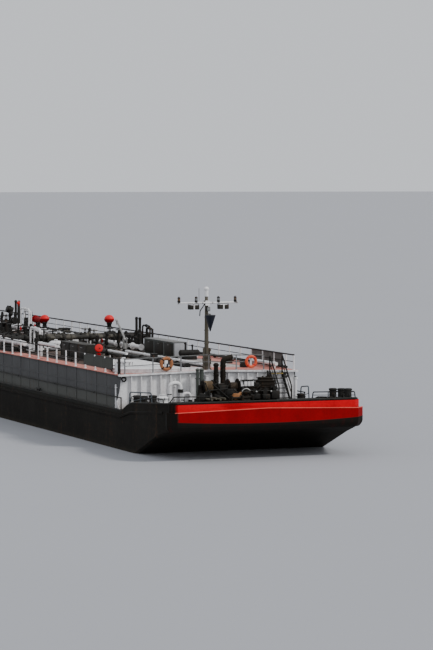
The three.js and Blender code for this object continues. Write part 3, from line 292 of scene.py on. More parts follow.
@dataclass(frozen=True)
class HullBlack(Paint):
    """Black topside coating: faint plate seams and scrapes, dusty top strake, deck paint and a scum line."""

    deck: Colour = (0.022, 0.022, 0.02)
    scum: Colour = (0.03, 0.026, 0.018)
    strip: Colour = (0.02, 0.021, 0.018)

    def mark(self, shop: ShaderShop, base: Wire) -> Wire:
        """Draw seams, scrapes, the dusty strake beside the trunk, the deck's own paint and the scum line."""
        scrape = shop.noise(1.1, 6.0, (0.1, 0.1, 1.6), 9.0)
        base = shop.mix(scrape.rise(0.56, 0.72) * 0.3, base, (0.018, 0.017, 0.015))
        seams = shop.seam(shop.x, 5.5, 0.05) + shop.seam(shop.z, 1.12, 0.03, 0.18)
        base = shop.mix(seams * 0.15, base, (0.02, 0.02, 0.018))
        edge = shop.z + shop.noise(0.9, 5.0, (1, 1, 0.2), 5.0) * 0.35
        base = shop.mix((1 - edge.rise(1.0, 1.3)) * 0.8, base, self.scum)
        strip = shop.z.rise(2.84, 2.92) * (1 - shop.x.rise(29.2, 30.2))
        base = shop.mix(strip * (scrape * 0.5 + 0.5), base, self.strip)
        top = shop.facing_up() * shop.z.rise(2.85, 2.95)
        return shop.mix(top, base, self.deck)


@dataclass(frozen=True)
class BowRed(Paint):
    """Red bow paint: lengthways scuffs and chips, with a black starboard wrap and a black foot."""

    scuff: Colour = (0.045, 0.004, 0.003)
    bare: Colour = (0.009, 0.008, 0.0065)
    foot: float = 0.0

    def mark(self, shop: ShaderShop, base: Wire) -> Wire:
        """Draw scuffs that run round the bow, the black starboard wrap and the black foot."""
        scrape = shop.noise(1.3, 6.0, (0.16, 0.16, 2.2), 2.0)
        base = shop.mix(scrape.rise(0.58, 0.72) * 0.4, base, self.scuff)
        chips = shop.noise(9.0, 3.0, (0.5, 0.5, 1.5), 6.0)
        base = shop.mix(chips.rise(0.68, 0.74) * 0.4, base, (0.02, 0.006, 0.005))
        wrap = 1 - (shop.y + scrape * 0.2).rise(-5.2, -5.02)
        low = 1 - (shop.z - shop.y * shop.y * 0.006).rise(self.foot - 0.02, self.foot + 0.02)
        return shop.mix(1 - (1 - wrap) * (1 - low), base, self.bare)


@dataclass(frozen=True)
class TrunkGrey(Paint):
    """Dark grey trunk side: soft light uprights at the plate joints and dust at the foot."""

    def mark(self, shop: ShaderShop, base: Wire) -> Wire:
        """Draw plate joints, the shaded band under the deck edge and the dusty foot."""
        joints = shop.seam(shop.x, 1.84, 0.1, 25.2)
        base = shop.mix(joints * 0.25, base, (0.13, 0.134, 0.138))
        shade = shop.z.rise(4.7, 4.9)
        base = shop.mix(shade * 0.4, base, (0.02, 0.022, 0.022))
        foot = 1 - (shop.z + shop.noise(1.4, 4.0, (1, 1, 0.3), 8.0) * 0.2).rise(3.74, 3.86)
        return shop.mix(foot * 0.55, base, (0.085, 0.087, 0.074))


@dataclass(frozen=True)
class BulkheadWhite(Paint):
    """White bulkhead: grey runs below the ledge, painted shadow beside each rib and splash dirt at the foot.
    """

    def mark(self, shop: ShaderShop, base: Wire) -> Wire:
        """Draw the ribs' shaded sides, runs and splash."""
        # Painted shadow: a greyer band just to starboard of each rib, where the rib's shadow falls.
        weld = shop.seam(shop.y, 0.585, 0.13, -0.09)
        base = shop.mix(weld * 0.22, base, (0.3, 0.28, 0.27))
        runs = shop.noise(3.2, 5.0, (1, 1, 0.06), 1.0)
        base = shop.mix(runs.rise(0.56, 0.72) * shop.z.rise(3.2, 4.9) * 0.3, base, (0.26, 0.22, 0.18))
        foot = 1 - (shop.z + shop.noise(2.0, 4.0, (1, 1, 0.4), 4.0) * 0.6).rise(3.4, 3.9)
        return shop.mix(foot * 0.5, base, (0.18, 0.14, 0.11))


@dataclass(frozen=True)
class DeckRed(Paint):
    """Salmon deck paint at the edges, worn to oily dark and trodden steel between the pipes, and pale forward
    of station 17.
    """

    oily: Colour = (0.027, 0.022, 0.018)
    trodden: Colour = (0.15, 0.135, 0.115)
    pale: Colour = (0.42, 0.41, 0.4)

    def mark(self, shop: ShaderShop, base: Wire) -> Wire:
        """Draw paths, seams and stains."""
        grit = shop.noise(42.0, 2.0)
        base = shop.mix(grit.rise(0.5, 0.75) * 0.3, base, (0.3, 0.13, 0.11))
        seams = shop.seam(shop.x, 3.68, 0.05, 25.2) + shop.seam(shop.y, 2.7, 0.05)
        base = shop.mix(seams * 0.3, base, (0.2, 0.11, 0.1))
        stain = shop.noise(0.8, 6.0, (0.5, 1, 1), 12.0)
        base = shop.mix(stain.rise(0.58, 0.78) * 0.45, base, (0.14, 0.11, 0.1))
        worn = shop.mix((1 - abs(shop.y).rise(2.2, 2.7)) * shop.x.rise(6.5, 8.5), self.oily, self.trodden)
        # A pale patch on the deck forward of station 17, between the pipes.
        light = shop.x.rise(17.0, 19.5) * (1 - abs(shop.y - 1.4).rise(1.9, 2.4))
        worn = shop.mix(light, worn, self.pale)
        spots = shop.noise(2.6, 4.0, (0.6, 1, 1), 31.0)
        worn = shop.mix(spots.rise(0.52, 0.62) * 0.7, worn, self.oily)
        edge = (shop.y - shop.x.rise(6.0, 8.5) * 0.4 + spots * 0.2).rise(-4.95, -4.85)
        fore = 1 - (shop.x + spots * 3.0).rise(27.2, 28.4)
        port = 1 - (shop.y + spots * 0.8).rise(3.9, 4.2) * shop.x.rise(14.0, 16.0)
        return shop.mix(edge * fore * port * 0.94, base, worn)


@dataclass(frozen=True)
class TreadSteel(Paint):
    """Dark gear whose rubbed edges and treads shine through the paint."""

    bare: Colour = (0.09, 0.085, 0.08)

    def mark(self, shop: ShaderShop, base: Wire) -> Wire:
        """Draw rubbed patches."""
        rub = shop.noise(5.0, 5.0, (1, 1, 0.5), 15.0)
        return shop.mix(rub.rise(0.62, 0.74) * 0.4, base, self.bare)


@dataclass(frozen=True)
class CrossPipe(TreadSteel):
    """Dark pipe across the deck whose middle is worn pale."""

    middle: Colour = (0.085, 0.078, 0.064)
    reach: float = 2.35

    def mark(self, shop: ShaderShop, base: Wire) -> Wire:
        """Draw the rubbed patches and the pale middle."""
        base = super().mark(shop, base)
        spots = shop.noise(2.2, 5.0, (1, 1, 1), 41.0)
        pale = (1 - abs(shop.y).rise(self.reach - 0.1, self.reach + 0.1)) * (1 - spots.rise(0.46, 0.56) * 0.9)
        return shop.mix(pale, base, self.middle)


@dataclass(frozen=True)
class WornTimber(Paint):
    """Sun-bleached timber: long grain across the barge and dark splits."""

    def mark(self, shop: ShaderShop, base: Wire) -> Wire:
        """Draw grain and splits."""
        grain = shop.noise(9.0, 5.0, (1, 0.1, 1), 21.0)
        base = shop.mix(grain.rise(0.4, 0.62) * 0.5, base, (0.2, 0.07, 0.02))
        return shop.mix(grain.rise(0.64, 0.7) * 0.8, base, (0.03, 0.014, 0.008))


@dataclass(frozen=True)
class LaidRope:
    """Laid fibre rope: slanting strands, frayed and sun-bleached in patches."""

    colour: Colour = (0.1, 0.062, 0.028)
    worn: Colour = (0.19, 0.135, 0.07)

    def build(self, name: str) -> bpy.types.Material:
        """Make the material from slanting bands and fibre noise."""
        shop = ShaderShop(name)
        slant = (shop.x * 9.0 + shop.y * 9.0 + shop.z * 14.0).fraction()
        strand = 1 - abs(slant - 0.5) * 2
        fibre = shop.noise(60.0, 3.0)
        base = shop.mix(shop.noise(3.0, 4.0).rise(0.35, 0.7), self.colour, self.worn)
        # Painted shade in the grooves between the strands.
        base = shop.mix((1 - strand.rise(0.0, 0.35)) * 0.7, base, (0.05, 0.03, 0.02))
        base = shop.mix(fibre.rise(0.45, 0.8) * 0.3, base, (0.1, 0.06, 0.04))
        return shop.close(base, fibre * 0.1 + 0.82, strand + fibre * 0.3, 0.01)


@dataclass(frozen=True)
class ClothPanel:
    """Woven windbreak or cover cloth with its weave, folds and dust."""

    colour: Colour
    faded: Colour
    weave: float = 26.0

    def build(self, name: str) -> bpy.types.Material:
        """Make the material from two crossing bands and clouded fading."""
        shop = ShaderShop(name)
        warp = abs((shop.x * self.weave).fraction() - 0.5) * 2
        weft = abs((shop.z * self.weave).fraction() - 0.5) * 2
        cloth = warp * weft
        cloud = shop.noise(1.3, 4.0, (1, 1, 0.4), 7.0)
        base = shop.mix(cloud.rise(0.35, 0.7), self.colour, self.faded)
        # Painted shade between the threads of the weave.
        base = shop.mix((1 - cloth.rise(0.05, 0.4)) * 0.4, base, (0.02, 0.022, 0.02))
        return shop.close(base, cloud * 0.1 + 0.75, cloth + cloud, 0.003)


@dataclass(frozen=True)
class LampGlass:
    """Thick lantern glass with ground rings."""

    colour: Colour

    def build(self, name: str) -> bpy.types.Material:
        """Make the material from level rings under a gloss coat."""
        shop = ShaderShop(name)
        rings = shop.seam(shop.z, 0.05, 0.02)
        base = shop.mix(rings * 0.6, self.colour, tuple(c * 0.4 for c in self.colour))
        return shop.close(base, rings * 0.2 + 0.12, rings, 0.003, Coat_Weight=0.6)


@dataclass(frozen=True)
class FloorGrey:
    """Plain pale studio floor."""

    colour: Colour = (0.35, 0.36, 0.39)

    def build(self, name: str) -> bpy.types.Material:
        """Make the material with a barely clouded matt grey."""
        shop = ShaderShop(name)
        cloud = shop.noise(0.05, 2.0)
        shade = tuple(c * 0.97 for c in self.colour)
        return shop.close(shop.mix(cloud, self.colour, shade), 0.85)


class Coat(Enum):
    """Every finish on the barge: what it is and the record's slot that it belongs to."""

    HULL = (HullBlack((0.0068, 0.0058, 0.0046), (0.011, 0.0096, 0.0078), 0.75, dust=0.0, rust=0.1,
                      streaks=0.1, shine=0.06), "hull_black")
    FENDER = (BowRed((0.21, 0.0015, 0.004), (0.265, 0.002, 0.005), 0.6, (0.09, 0.002, 0.0025), 0.2, 0.0, 0.0,
                     shine=0.06, foot=2.81), "fender_red")
    BAND = (BowRed((0.54, 0.001, 0.009), (0.62, 0.0015, 0.011), 0.6, (0.22, 0.001, 0.004), 0.25, 0.0, 0.0,
                   shine=0.06), "bow_red")
    TRUNK = (TrunkGrey((0.067, 0.068, 0.07), (0.083, 0.084, 0.086), 0.7, streaks=0.2, shine=0.12),
             "trunk_grey")
    DECK = (DeckRed((0.5, 0.165, 0.135), (0.58, 0.23, 0.19), 0.8, streaks=0.0, dust=0.2, shine=0.1),
            "deck_red")
    BULKHEAD = (BulkheadWhite((0.74, 0.74, 0.76), (0.8, 0.8, 0.81), 0.5, streaks=0.1), "white_paint")
    WHITE = (Paint((0.74, 0.74, 0.75), (0.8, 0.8, 0.81), 0.45, streaks=0.18, dust=0.1), "white_paint")
    GEAR = (TreadSteel((0.008, 0.008, 0.0075), (0.014, 0.0135, 0.0125), 0.6, rust=0.2, dust=0.06,
                       streaks=0.15, shine=0.15), "gear_black")
    DARK = (Paint((0.015, 0.0145, 0.0125), (0.025, 0.0235, 0.02), 0.6, rust=0.2, dust=0.12, shine=0.15),
            "dark_grey")
    SLATE = (Paint((0.045, 0.058, 0.07), (0.06, 0.075, 0.09), 0.5, rust=0.3), "dark_grey")
    PIPE = (Paint((0.09, 0.095, 0.098), (0.14, 0.145, 0.146), 0.5, rust=0.25, dust=0.4), "pipe_grey")
    GREEN = (Paint((0.045, 0.056, 0.048), (0.068, 0.08, 0.07), 0.55, rust=0.2, dust=0.25), "green_grey")
    MAST = (Paint((0.075, 0.066, 0.048), (0.11, 0.098, 0.075), 0.6, rust=0.3, shine=0.2), "mast_brown")
    CONE = (Paint((0.006, 0.009, 0.018), (0.012, 0.017, 0.032), 0.6, streaks=0.1, rust=0.0), "cone_blue")
    STEEL = (Paint((0.28, 0.28, 0.28), (0.4, 0.4, 0.39), 0.38, rust=0.25, metallic=0.6), "bare_steel")
    CAP = (Paint((0.62, 0.008, 0.011), (0.7, 0.013, 0.012), 0.5, (0.2, 0.004, 0.004), 0.2, 0.0, 0.04),
           "bow_red")
    # Lighter orange red for the fender's ledge bead: a painted highlight along the lit ledge.
    EDGE = (Paint((0.7, 0.085, 0.06), (0.78, 0.13, 0.09), 0.5, (0.3, 0.03, 0.02), 0.4, 0.0, 0.05), "bow_red")
    CROSS = (CrossPipe((0.008, 0.008, 0.0075), (0.014, 0.0135, 0.0125), 0.6, rust=0.1, dust=0.06,
                       streaks=0.15, shine=0.15), "gear_black")
    TIMBER = (WornTimber((0.3, 0.12, 0.04), (0.5, 0.26, 0.12), 0.75, streaks=0.15, rust=0.0, dust=0.1),
              "rope_brown")
    PALE = (Paint((0.3, 0.31, 0.33), (0.36, 0.37, 0.39), 0.6, rust=0.05, dust=0.1), "pipe_grey")
    ORANGE = (Paint((0.7, 0.07, 0.025), (0.78, 0.12, 0.04), 0.5, streaks=0.2, rust=0.0), "bow_red")
    # Darker brown-orange: the port ring's orange with painted shade, used for the starboard ring.
    WORN = (Paint((0.26, 0.085, 0.028), (0.38, 0.15, 0.06), 0.6, streaks=0.35, rust=0.0), "rope_brown")
    YELLOW = (Paint((0.36, 0.24, 0.04), (0.45, 0.32, 0.08), 0.5), "rope_brown")
    GRIME = (TreadSteel((0.009, 0.0072, 0.0058), (0.018, 0.0135, 0.01), 0.75, rust=0.4, dust=0.05,
                        streaks=0.2, relief=0.004, shine=0.1), "gear_black")
    ROPE = (LaidRope(), "rope_brown")
    OLD_ROPE = (LaidRope((0.03, 0.02, 0.012), (0.07, 0.05, 0.03)), "rope_brown")
    SCREEN = (ClothPanel((0.034, 0.036, 0.028), (0.05, 0.052, 0.042)), "green_grey")
    MESH = (ClothPanel((0.095, 0.09, 0.085), (0.15, 0.142, 0.135), 14.0), "dark_grey")
    CLEAR = (LampGlass((0.2, 0.21, 0.21)), "white_paint")
    AMBER = (LampGlass((0.11, 0.05, 0.01)), "rope_brown")
    FLOOR = (FloorGrey(), "")

    @property
    def slot(self) -> str:
        """The record's material slot."""
        return self.value[1]

    def material(self) -> bpy.types.Material:
        """The coat's material, made on first use."""
        name = f"{self.name.lower()}_finish"
        return bpy.data.materials.get(name) or self.value[0].build(name)


# Modelling.


def aim(direction: Vector) -> Matrix:
    """Return the turn that points Z along a direction."""
    return direction.to_track_quat("Z", "Y").to_matrix().to_4x4()


def spokes(count: int, radius: float, start: float = 0.0) -> list[tuple[float, float]]:
    """List points evenly round a circle, the first one start steps round it."""
    turns = [math.tau * (i + start) / count for i in range(count)]
    return [(radius * math.cos(turn), radius * math.sin(turn)) for turn in turns]


class Workpiece:
    """One object under construction, in full-size metres. What is added takes the coat chosen last."""

    def __init__(self, name: str, coat: Coat) -> None:
        """Start an empty piece with its first coat."""
        self.name = name
        self.mesh = bmesh.new()
        self.coats: list[Coat] = []
        self.coat(coat)

    def coat(self, coat: Coat) -> None:
        """Choose the coat of what is added next."""
        if coat not in self.coats:
            self.coats.append(coat)
        self.ink = self.coats.index(coat)

    def _take(self, part: bmesh.types.BMesh) -> None:
        """Move a finished form into the piece."""
        for face in part.faces:
            face.material_index = self.ink
        spare = bpy.data.meshes.new("spare")
        part.to_mesh(spare)
        part.free()
        self.mesh.from_mesh(spare)
        bpy.data.meshes.remove(spare)

    def block(self, low: Point, high: Point, bevel: float = 0.0) -> None:
        """Add a box from its lowest to its highest corner, with rounded edges if bevel is given."""
        part = bmesh.new()
        bmesh.ops.create_cube(part, size=1.0)
        bmesh.ops.scale(part, vec=[b - a for a, b in zip(low, high)], verts=part.verts)
        bmesh.ops.translate(part, vec=[(a + b) / 2 for a, b in zip(low, high)], verts=part.verts)
        if bevel:
            bmesh.ops.bevel(part, geom=part.edges[:], offset=bevel, offset_type="OFFSET", segments=2,
                            profile=0.5, affect="EDGES", material=-1)
        self._take(part)

    def plate(self, outline: Sequence[Point], depth: Point, bevel: float = 0.0) -> None:
        """Add a flat plate.

        Args:
            outline: Its corners in order.
            depth: How far and which way it is thick.
            bevel: The rounding of its edges.
        """
        part = bmesh.new()
        face = part.faces.new([part.verts.new(p) for p in outline])
        grown = bmesh.ops.extrude_face_region(part, geom=[face])["geom"]
        moved = [g for g in grown if isinstance(g, bmesh.types.BMVert)]
        bmesh.ops.translate(part, vec=depth, verts=moved)
        bmesh.ops.recalc_face_normals(part, faces=part.faces)
        if bevel:
            bmesh.ops.bevel(part, geom=part.edges[:], offset=bevel, offset_type="OFFSET", segments=1,
                            profile=0.5, affect="EDGES", material=-1)
        self._take(part)

    def rod(self, start: Point, end: Point, radius: float, end_radius: float = -1.0, sides: int = 12) -> None:
        """Add a round bar or a cone between two points; end_radius -1 keeps it straight."""
        part = bmesh.new()
        line = Vector(end) - Vector(start)
        place = Matrix.Translation((Vector(start) + Vector(end)) / 2) @ aim(line)
        bmesh.ops.create_cone(part, cap_ends=True, segments=sides, radius1=radius, depth=line.length,
                              radius2=radius if end_radius < 0 else end_radius, matrix=place)
        self._take(part)

    def post(self, place: tuple[float, float], low: float, high: float, radius: float,
             end_radius: float = -1.0, sides: int = 12) -> None:
        """Add an upright round bar or cone at a place, between two heights."""
        self.rod((*place, low), (*place, high), radius, end_radius, sides)

    def box(self, middle: tuple[float, float], half: tuple[float, float], low: float, high: float,
            bevel: float = 0.0) -> None:
        """Add a box about an upright middle line, between two heights; half is its half size."""
        (x, y), (dx, dy) = middle, half
        self.block((x - dx, y - dy, low), (x + dx, y + dy, high), bevel)

    def ball(self, centre: Point, radius: float, squash: Point = (1, 1, 1), sides: int = 10) -> None:
        """Add a ball, flattened or drawn out along the axes by squash."""
        part = bmesh.new()
        bmesh.ops.create_uvsphere(part, u_segments=sides, v_segments=max(4, sides // 2), radius=radius)
        bmesh.ops.scale(part, vec=squash, verts=part.verts)
        bmesh.ops.translate(part, vec=centre, verts=part.verts)
        self._take(part)

    def turned(self, profile: Sequence[tuple[float, float]], centre: Point, axis: Point = UP,
               sides: int = 16, closed: bool = False) -> None:
        """Add a turned form.

        Args:
            profile: Radius and height rows, along the axis.
            centre: Where height 0 is.
            axis: The way the heights run.
            sides: Steps round the axis.
            closed: Whether the profile is a loop, as for a ring.
        """
        part = bmesh.new()
        verts = [part.verts.new((radius, 0, height)) for radius, height in profile]
        edges = [part.edges.new(pair) for pair in zip(verts, verts[1:])]
        if closed:
            edges.append(part.edges.new((verts[-1], verts[0])))
        bmesh.ops.spin(part, geom=verts + edges, cent=(0, 0, 0), axis=UP, dvec=(0, 0, 0),
                       angle=math.tau, steps=sides, use_merge=True)
        bmesh.ops.remove_doubles(part, verts=part.verts, dist=1e-5)
        bmesh.ops.recalc_face_normals(part, faces=part.faces)
        bmesh.ops.transform(part, matrix=Matrix.Translation(centre) @ aim(Vector(axis)), verts=part.verts)
        self._take(part)

    def ring(self, centre: Point, axis: Point, radius: float, thick: float, sides: int = 20,
             round_by: int = 8) -> None:
        """Add a ring: radius to the middle of its section, thick the section's radius."""
        section = [(radius + out, lift) for out, lift in spokes(round_by, thick)]
        self.turned(section, centre, axis, sides, closed=True)

    def tube(self, points: Iterable[Point], radius: float, bend: float = 0.0, sides: int = 8) -> None:
        """Add a round tube along a route.

        Args:
            points: The route's corners.
            radius: The tube's radius.
            bend: How far before and after a corner its bend starts and ends.
            sides: Sides of the section.
        """
        path = rounded([Vector(p) for p in points], bend)
        headings = [(b - a).normalized() for a, b in zip(path, path[1:])]
        part = bmesh.new()
        bmesh.ops.create_circle(part, cap_ends=True, segments=sides, radius=radius,
                                matrix=Matrix.Translation(path[0]) @ aim(headings[0]))
        heading = headings[0]
        cap = part.faces[:]
        for i in range(1, len(path)):
            grown = bmesh.ops.extrude_face_region(part, geom=cap)["geom"]
            cap = [g for g in grown if isinstance(g, bmesh.types.BMFace)]
            moved = [g for g in grown if isinstance(g, bmesh.types.BMVert)]
            ahead = headings[min(i, len(headings) - 1)]
            facing = (headings[i - 1] + ahead).normalized()
            turn = heading.rotation_difference(facing).to_matrix().to_4x4()
            heading = facing
            bmesh.ops.transform(part, verts=moved, matrix=Matrix.Translation(path[i]) @ turn
                                @ Matrix.Translation(-path[i - 1]))
        bmesh.ops.recalc_face_normals(part, faces=part.faces)
        self._take(part)

    def finish(self, body: str = "barge", replaces: Sequence[str] = ()) -> None:
        """Turn the work into an object of the scene, at the origin, with its place in its mesh.

        Args:
            body: The frame's body that it rides on.
            replaces: The frame's nodes that it stands for.
        """
        bmesh.ops.scale(self.mesh, vec=(SCALE, SCALE, SCALE), verts=self.mesh.verts)
        shape = bpy.data.meshes.new(self.name)
        for coat in self.coats:
            shape.materials.append(coat.material())
        self.mesh.to_mesh(shape)
        self.mesh.free()
        shape.shade_smooth()
        shape.set_sharp_from_angle(angle=SHARP_EDGE)
        piece = bpy.data.objects.new(self.name, shape)
        bpy.context.scene.collection.objects.link(piece)
        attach(piece, body)
        if replaces:
            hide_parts(*replaces)
        log.info("%s: %d faces on %s", self.name, len(shape.polygons), body)


def rounded(path: list[Vector], bend: float) -> list[Vector]:
    """Round the corners of a route.

    Args:
        path: The route's corners.
        bend: The distance from a corner at which its bend starts.

    Returns:
        The route with a curve in place of each inner corner.
    """
    if bend <= 0 or len(path) < 3:
        return path
    route = [path[0]]
    for before, corner, after in zip(path, path[1:], path[2:]):
        start = corner + (before - corner).normalized() * min(bend, (before - corner).length * 0.49)
        end = corner + (after - corner).normalized() * min(bend, (after - corner).length * 0.49)
        for i in range(BEND_STEPS + 1):
            t = i / BEND_STEPS
            route.append(start.lerp(corner, t).lerp(corner.lerp(end, t), t))
    return [*route, path[-1]]


def dress(coat: Coat, *nodes: str) -> None:
    """Give nodes of the frame their finish."""
    for node in nodes:
        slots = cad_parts[node].data.materials
        slots.clear()
        slots.append(coat.material())
        log.info("%s: %s", node, coat.name.lower())


def flange(work: Workpiece, centre: Point, axis: Point, radius: float, bolts: int = 8) -> None:
    """Add a bolted pair of pipe flanges.

    Args:
        work: The piece to add to.
        centre: The joint between the two discs.
        axis: The way the pipe runs.
        radius: The pipe's radius.
        bolts: How many bolts go round.
    """
    along_pipe = Vector(axis).normalized()
    middle = Vector(centre)
    sideways = along_pipe.orthogonal().normalized()
    for side in (-1, 1):
        work.rod(middle + along_pipe * 0.006 * side, middle + along_pipe * 0.045 * side,
                 radius * FLANGE_REACH, sides=16)
    for i in range(bolts):
        out = (Matrix.Rotation(math.tau * i / bolts, 3, along_pipe) @ sideways) * radius * BOLT_CIRCLE
        work.rod(middle + out - along_pipe * 0.07, middle + out + along_pipe * 0.07, 0.016, sides=6)


def handwheel(work: Workpiece, centre: Point, axis: Point, radius: float) -> None:
    """Add a spoked handwheel.

    Args:
        work: The piece to add to.
        centre: The hub.
        axis: The spindle's direction.
        radius: The rim's radius.
    """
    spindle = Vector(axis).normalized()
    middle = Vector(centre)
    sideways = spindle.orthogonal().normalized()
    work.ring(centre, axis, radius, radius * 0.13, 18, 6)
    for i in range(4):
        out = Matrix.Rotation(math.tau * i / 4, 3, spindle) @ sideways
        work.rod(middle, middle + out * radius, radius * 0.08, sides=6)
    work.rod(middle - spindle * 0.05, middle + spindle * 0.05, radius * 0.2, sides=8)


def valve(work: Workpiece, centre: Point, axis: Point, radius: float, wheel: Coat, stem: float = 0.42,
          up: Point = UP) -> None:
    """Add a gate valve in a pipe.

    Args:
        work: The piece to add to.
        centre: The pipe's middle at the valve.
        axis: The way the pipe runs.
        radius: The pipe's radius.
        wheel: The handwheel's coat.
        stem: How far the wheel stands off the pipe's middle.
        up: The spindle's direction.
    """
    body = work.coats[work.ink]
    middle, run, spindle = Vector(centre), Vector(axis).normalized(), Vector(up).normalized()
    work.rod(middle - run * radius * 1.5, middle + run * radius * 1.5, radius * 1.25, sides=12)
    for side in (-1, 1):
        flange(work, middle + run * radius * 1.9 * side, axis, radius, 6)
    work.rod(middle, middle + spindle * stem * 0.55, radius * 1.1, radius * 0.6, 10)
    work.rod(middle + spindle * stem * 0.5, middle + spindle * (stem + 0.1), 0.022, sides=6)
    for side in (-1, 1):
        yoke = run * radius * 0.6 * side
        work.rod(middle + yoke + spindle * stem * 0.45, middle + yoke * 0.5 + spindle * stem * 0.95, 0.018,
                 sides=6)
    work.coat(wheel)
    handwheel(work, middle + spindle * stem, up, max(0.14, radius * 1.5))
    work.coat(body)


@dataclass
class HullShell:
    """Hull, fenders and bow bands, with the deck edge bar, the fender's bead, cleats and straps."""

    kerb_radius: float = 0.05
    kerb_inset: float = 0.07
    strap_pitch: float = 1.4
    strap_count: int = 3

    def build(self) -> None:
        """Dress the shell's nodes and add its fittings."""
        dress(Coat.HULL, "hull")
        dress(Coat.GEAR, "stern_fender")
        dress(Coat.FENDER, "bow_fender")
        dress(Coat.BAND, "bow_band")
        self.kerb()
        self.straps()
        self.gangway_cleats()
        self.ledge_bead()

    def ledge_bead(self) -> None:
        """Weld the bead along the edge of the fender's ledge; its lighter orange is a painted highlight."""
        work = Workpiece("fender_ledge_bead", Coat.EDGE)
        work.tube([(38.15, -5.35, 3.475), (38.24, -5.22, 3.475), (38.24, 0.0, 3.61), (38.24, 5.25, 3.475),
                   (37.8, 5.69, 3.475), (37.62, 5.7, 3.475)], 0.022, 0.0, 6)
        work.finish()

    def kerb(self) -> None:
        """Lay the round bar along the whole deck edge."""
        stations = [-37.88, -37.5, -36.0, -35.4, -33.9, -33.0, -32.6, 30.0, 30.4, 31.0, 31.8, 34.5, 36.6,
                    37.6, 37.9]
        side = [(x, along(PLAN, x) - self.kerb_inset, sheer_z(x) + self.kerb_radius * 0.6) for x in stations]
        route = [(side[0][0], 0.0, side[0][2])]
        route += [(x, -y, z) for x, y, z in side] + list(reversed(side))
        route.append((side[0][0], 0.02, side[0][2]))
        work = Workpiece("deck_edge_bar", Coat.GEAR)
        work.tube(route, self.kerb_radius)
        work.finish()

    def straps(self) -> None:
        """Bolt the steel straps over the stern block."""
        work = Workpiece("stern_block_straps", Coat.DARK)
        for i in range(-self.strap_count, self.strap_count + 1):
            y = i * self.strap_pitch
            work.block((-38.27, y - 0.09, 2.5), (-38.2, y + 0.09, 3.3), 0.01)
            work.block((-38.2, y - 0.09, 3.28), (-37.9, y + 0.09, 3.33), 0.01)
            for z in (2.62, 2.9, 3.18):
                work.rod((-38.3, y, z), (-38.2, y, z), 0.04, sides=6)
        work.finish()

    def gangway_cleats(self) -> None:
        """Stand the low cleats on the narrow side decks."""
        work = Workpiece("side_deck_cleats", Coat.GEAR)
        for x in (14.5, -0.2, -14.9):
            for side in (-1, 1):
                y = side * 5.55
                work.box((x, y), (0.45, 0.06), 2.98, 3.05, 0.015)
                for step in (-0.18, 0.18):
                    work.post((x + step, y), 3.0, 3.17, 0.05, sides=10)
                work.tube([(x - 0.4, y, 3.2), (x, y, 3.17), (x + 0.4, y, 3.2)], 0.045, 0.2, 8)
        work.finish()


@dataclass
class Trunk:
    """The cargo trunk: side plating, deck plate, bulkheads and what is welded to them."""

    frame_front: float = 25.2
    frame_pitch: float = 3.68
    half_frame_depth: float = 0.022
    rib_pitch: float = 0.585
    ribs_a_side: int = 8

    def build(self) -> None:
        """Dress the trunk's nodes and add its fittings."""
        dress(Coat.TRUNK, "trunk")
        dress(Coat.DECK, "trunk_deck")
        dress(Coat.BULKHEAD, "front_bulkhead", "aft_bulkhead")
        self.half_frames()
        self.bulkhead_fittings()
        self.handrails()

    def half_frames(self) -> None:
        """Weld a slim upright halfway between the trunk's frames on both sides, and run up one drain pipe."""
        work = Workpiece("trunk_half_frames", Coat.TRUNK)
        x = self.frame_front + self.frame_pitch / 2
        while x > TRUNK_AFT + 0.5:
            for side in (-1, 1):
                low, high = sorted((side * TRUNK_HALF, side * (TRUNK_HALF + self.half_frame_depth)))
                work.block((x - 0.025, low, 3.02), (x + 0.025, high, 4.88))
            x -= self.frame_pitch
        work.coat(Coat.WHITE)
        work.post((28.75, -5.468), 3.0, 4.4, 0.045, sides=10)
        for z in (3.3, 4.2):
            work.block((28.67, -5.5, z), (28.83, -5.41, z + 0.05), 0.006)
        work.finish()

    def bulkhead_fittings(self) -> None:
        """Add lashing rings and foot gussets at the ribs to both bulkheads, and small drain pipes to the
        front one.
        """
        work = Workpiece("bulkhead_fittings", Coat.BULKHEAD)
        for face, out in ((TRUNK_FRONT, 1), (TRUNK_AFT, -1)):
            work.coat(Coat.BULKHEAD)
            for i in range(-self.ribs_a_side, self.ribs_a_side + 1):
                y = i * self.rib_pitch - 0.02
                work.plate([(face + out * 0.05, y, 3.02), (face + out * 0.3, y, 3.02),
                            (face + out * 0.21, y, 3.3), (face + out * 0.05, y, 3.3)], (0, 0.04, 0))
            work.coat(Coat.GEAR)
            for y in (-5.14, 4.67):
                work.ring((face + out * 0.2, y, 4.7), (1, 0, 0.1), 0.12, 0.045, 16, 6)
                low, high = sorted((face + out * 0.04, face + out * 0.22))
                work.block((low, y - 0.035, 4.76), (high, y + 0.035, 4.86), 0.01)
        work.coat(Coat.WHITE)
        for y in (-2.05, 2.05, 3.22):
            work.tube([(29.13, y, 3.0), (29.13, y, 4.55), (29.06, y, 4.7)], 0.032, 0.06, 8)
            for z in (3.5, 4.2):
                work.block((29.04, y - 0.06, z - 0.02), (29.17, y + 0.06, z + 0.02), 0.008)
        work.finish()

    def handrails(self) -> None:
        """Dress the side handrails and put a ball at each bracket and a plate under each fore foot."""
        dress(Coat.GEAR, "side_handrail_starboard", "side_handrail_port")
        work = Workpiece("side_handrail_bosses", Coat.GEAR)
        for side in (-1, 1):
            x = self.frame_front
            while x > TRUNK_AFT + 1:
                work.ball((x, side * HANDRAIL_Y, 3.72), 0.055)
                x -= self.frame_pitch * 2
            work.post((29.9, side * HANDRAIL_Y), 2.99, 3.03, 0.08, sides=10)
            work.ball((29.9, side * HANDRAIL_Y, 3.72), 0.045)
        work.finish()


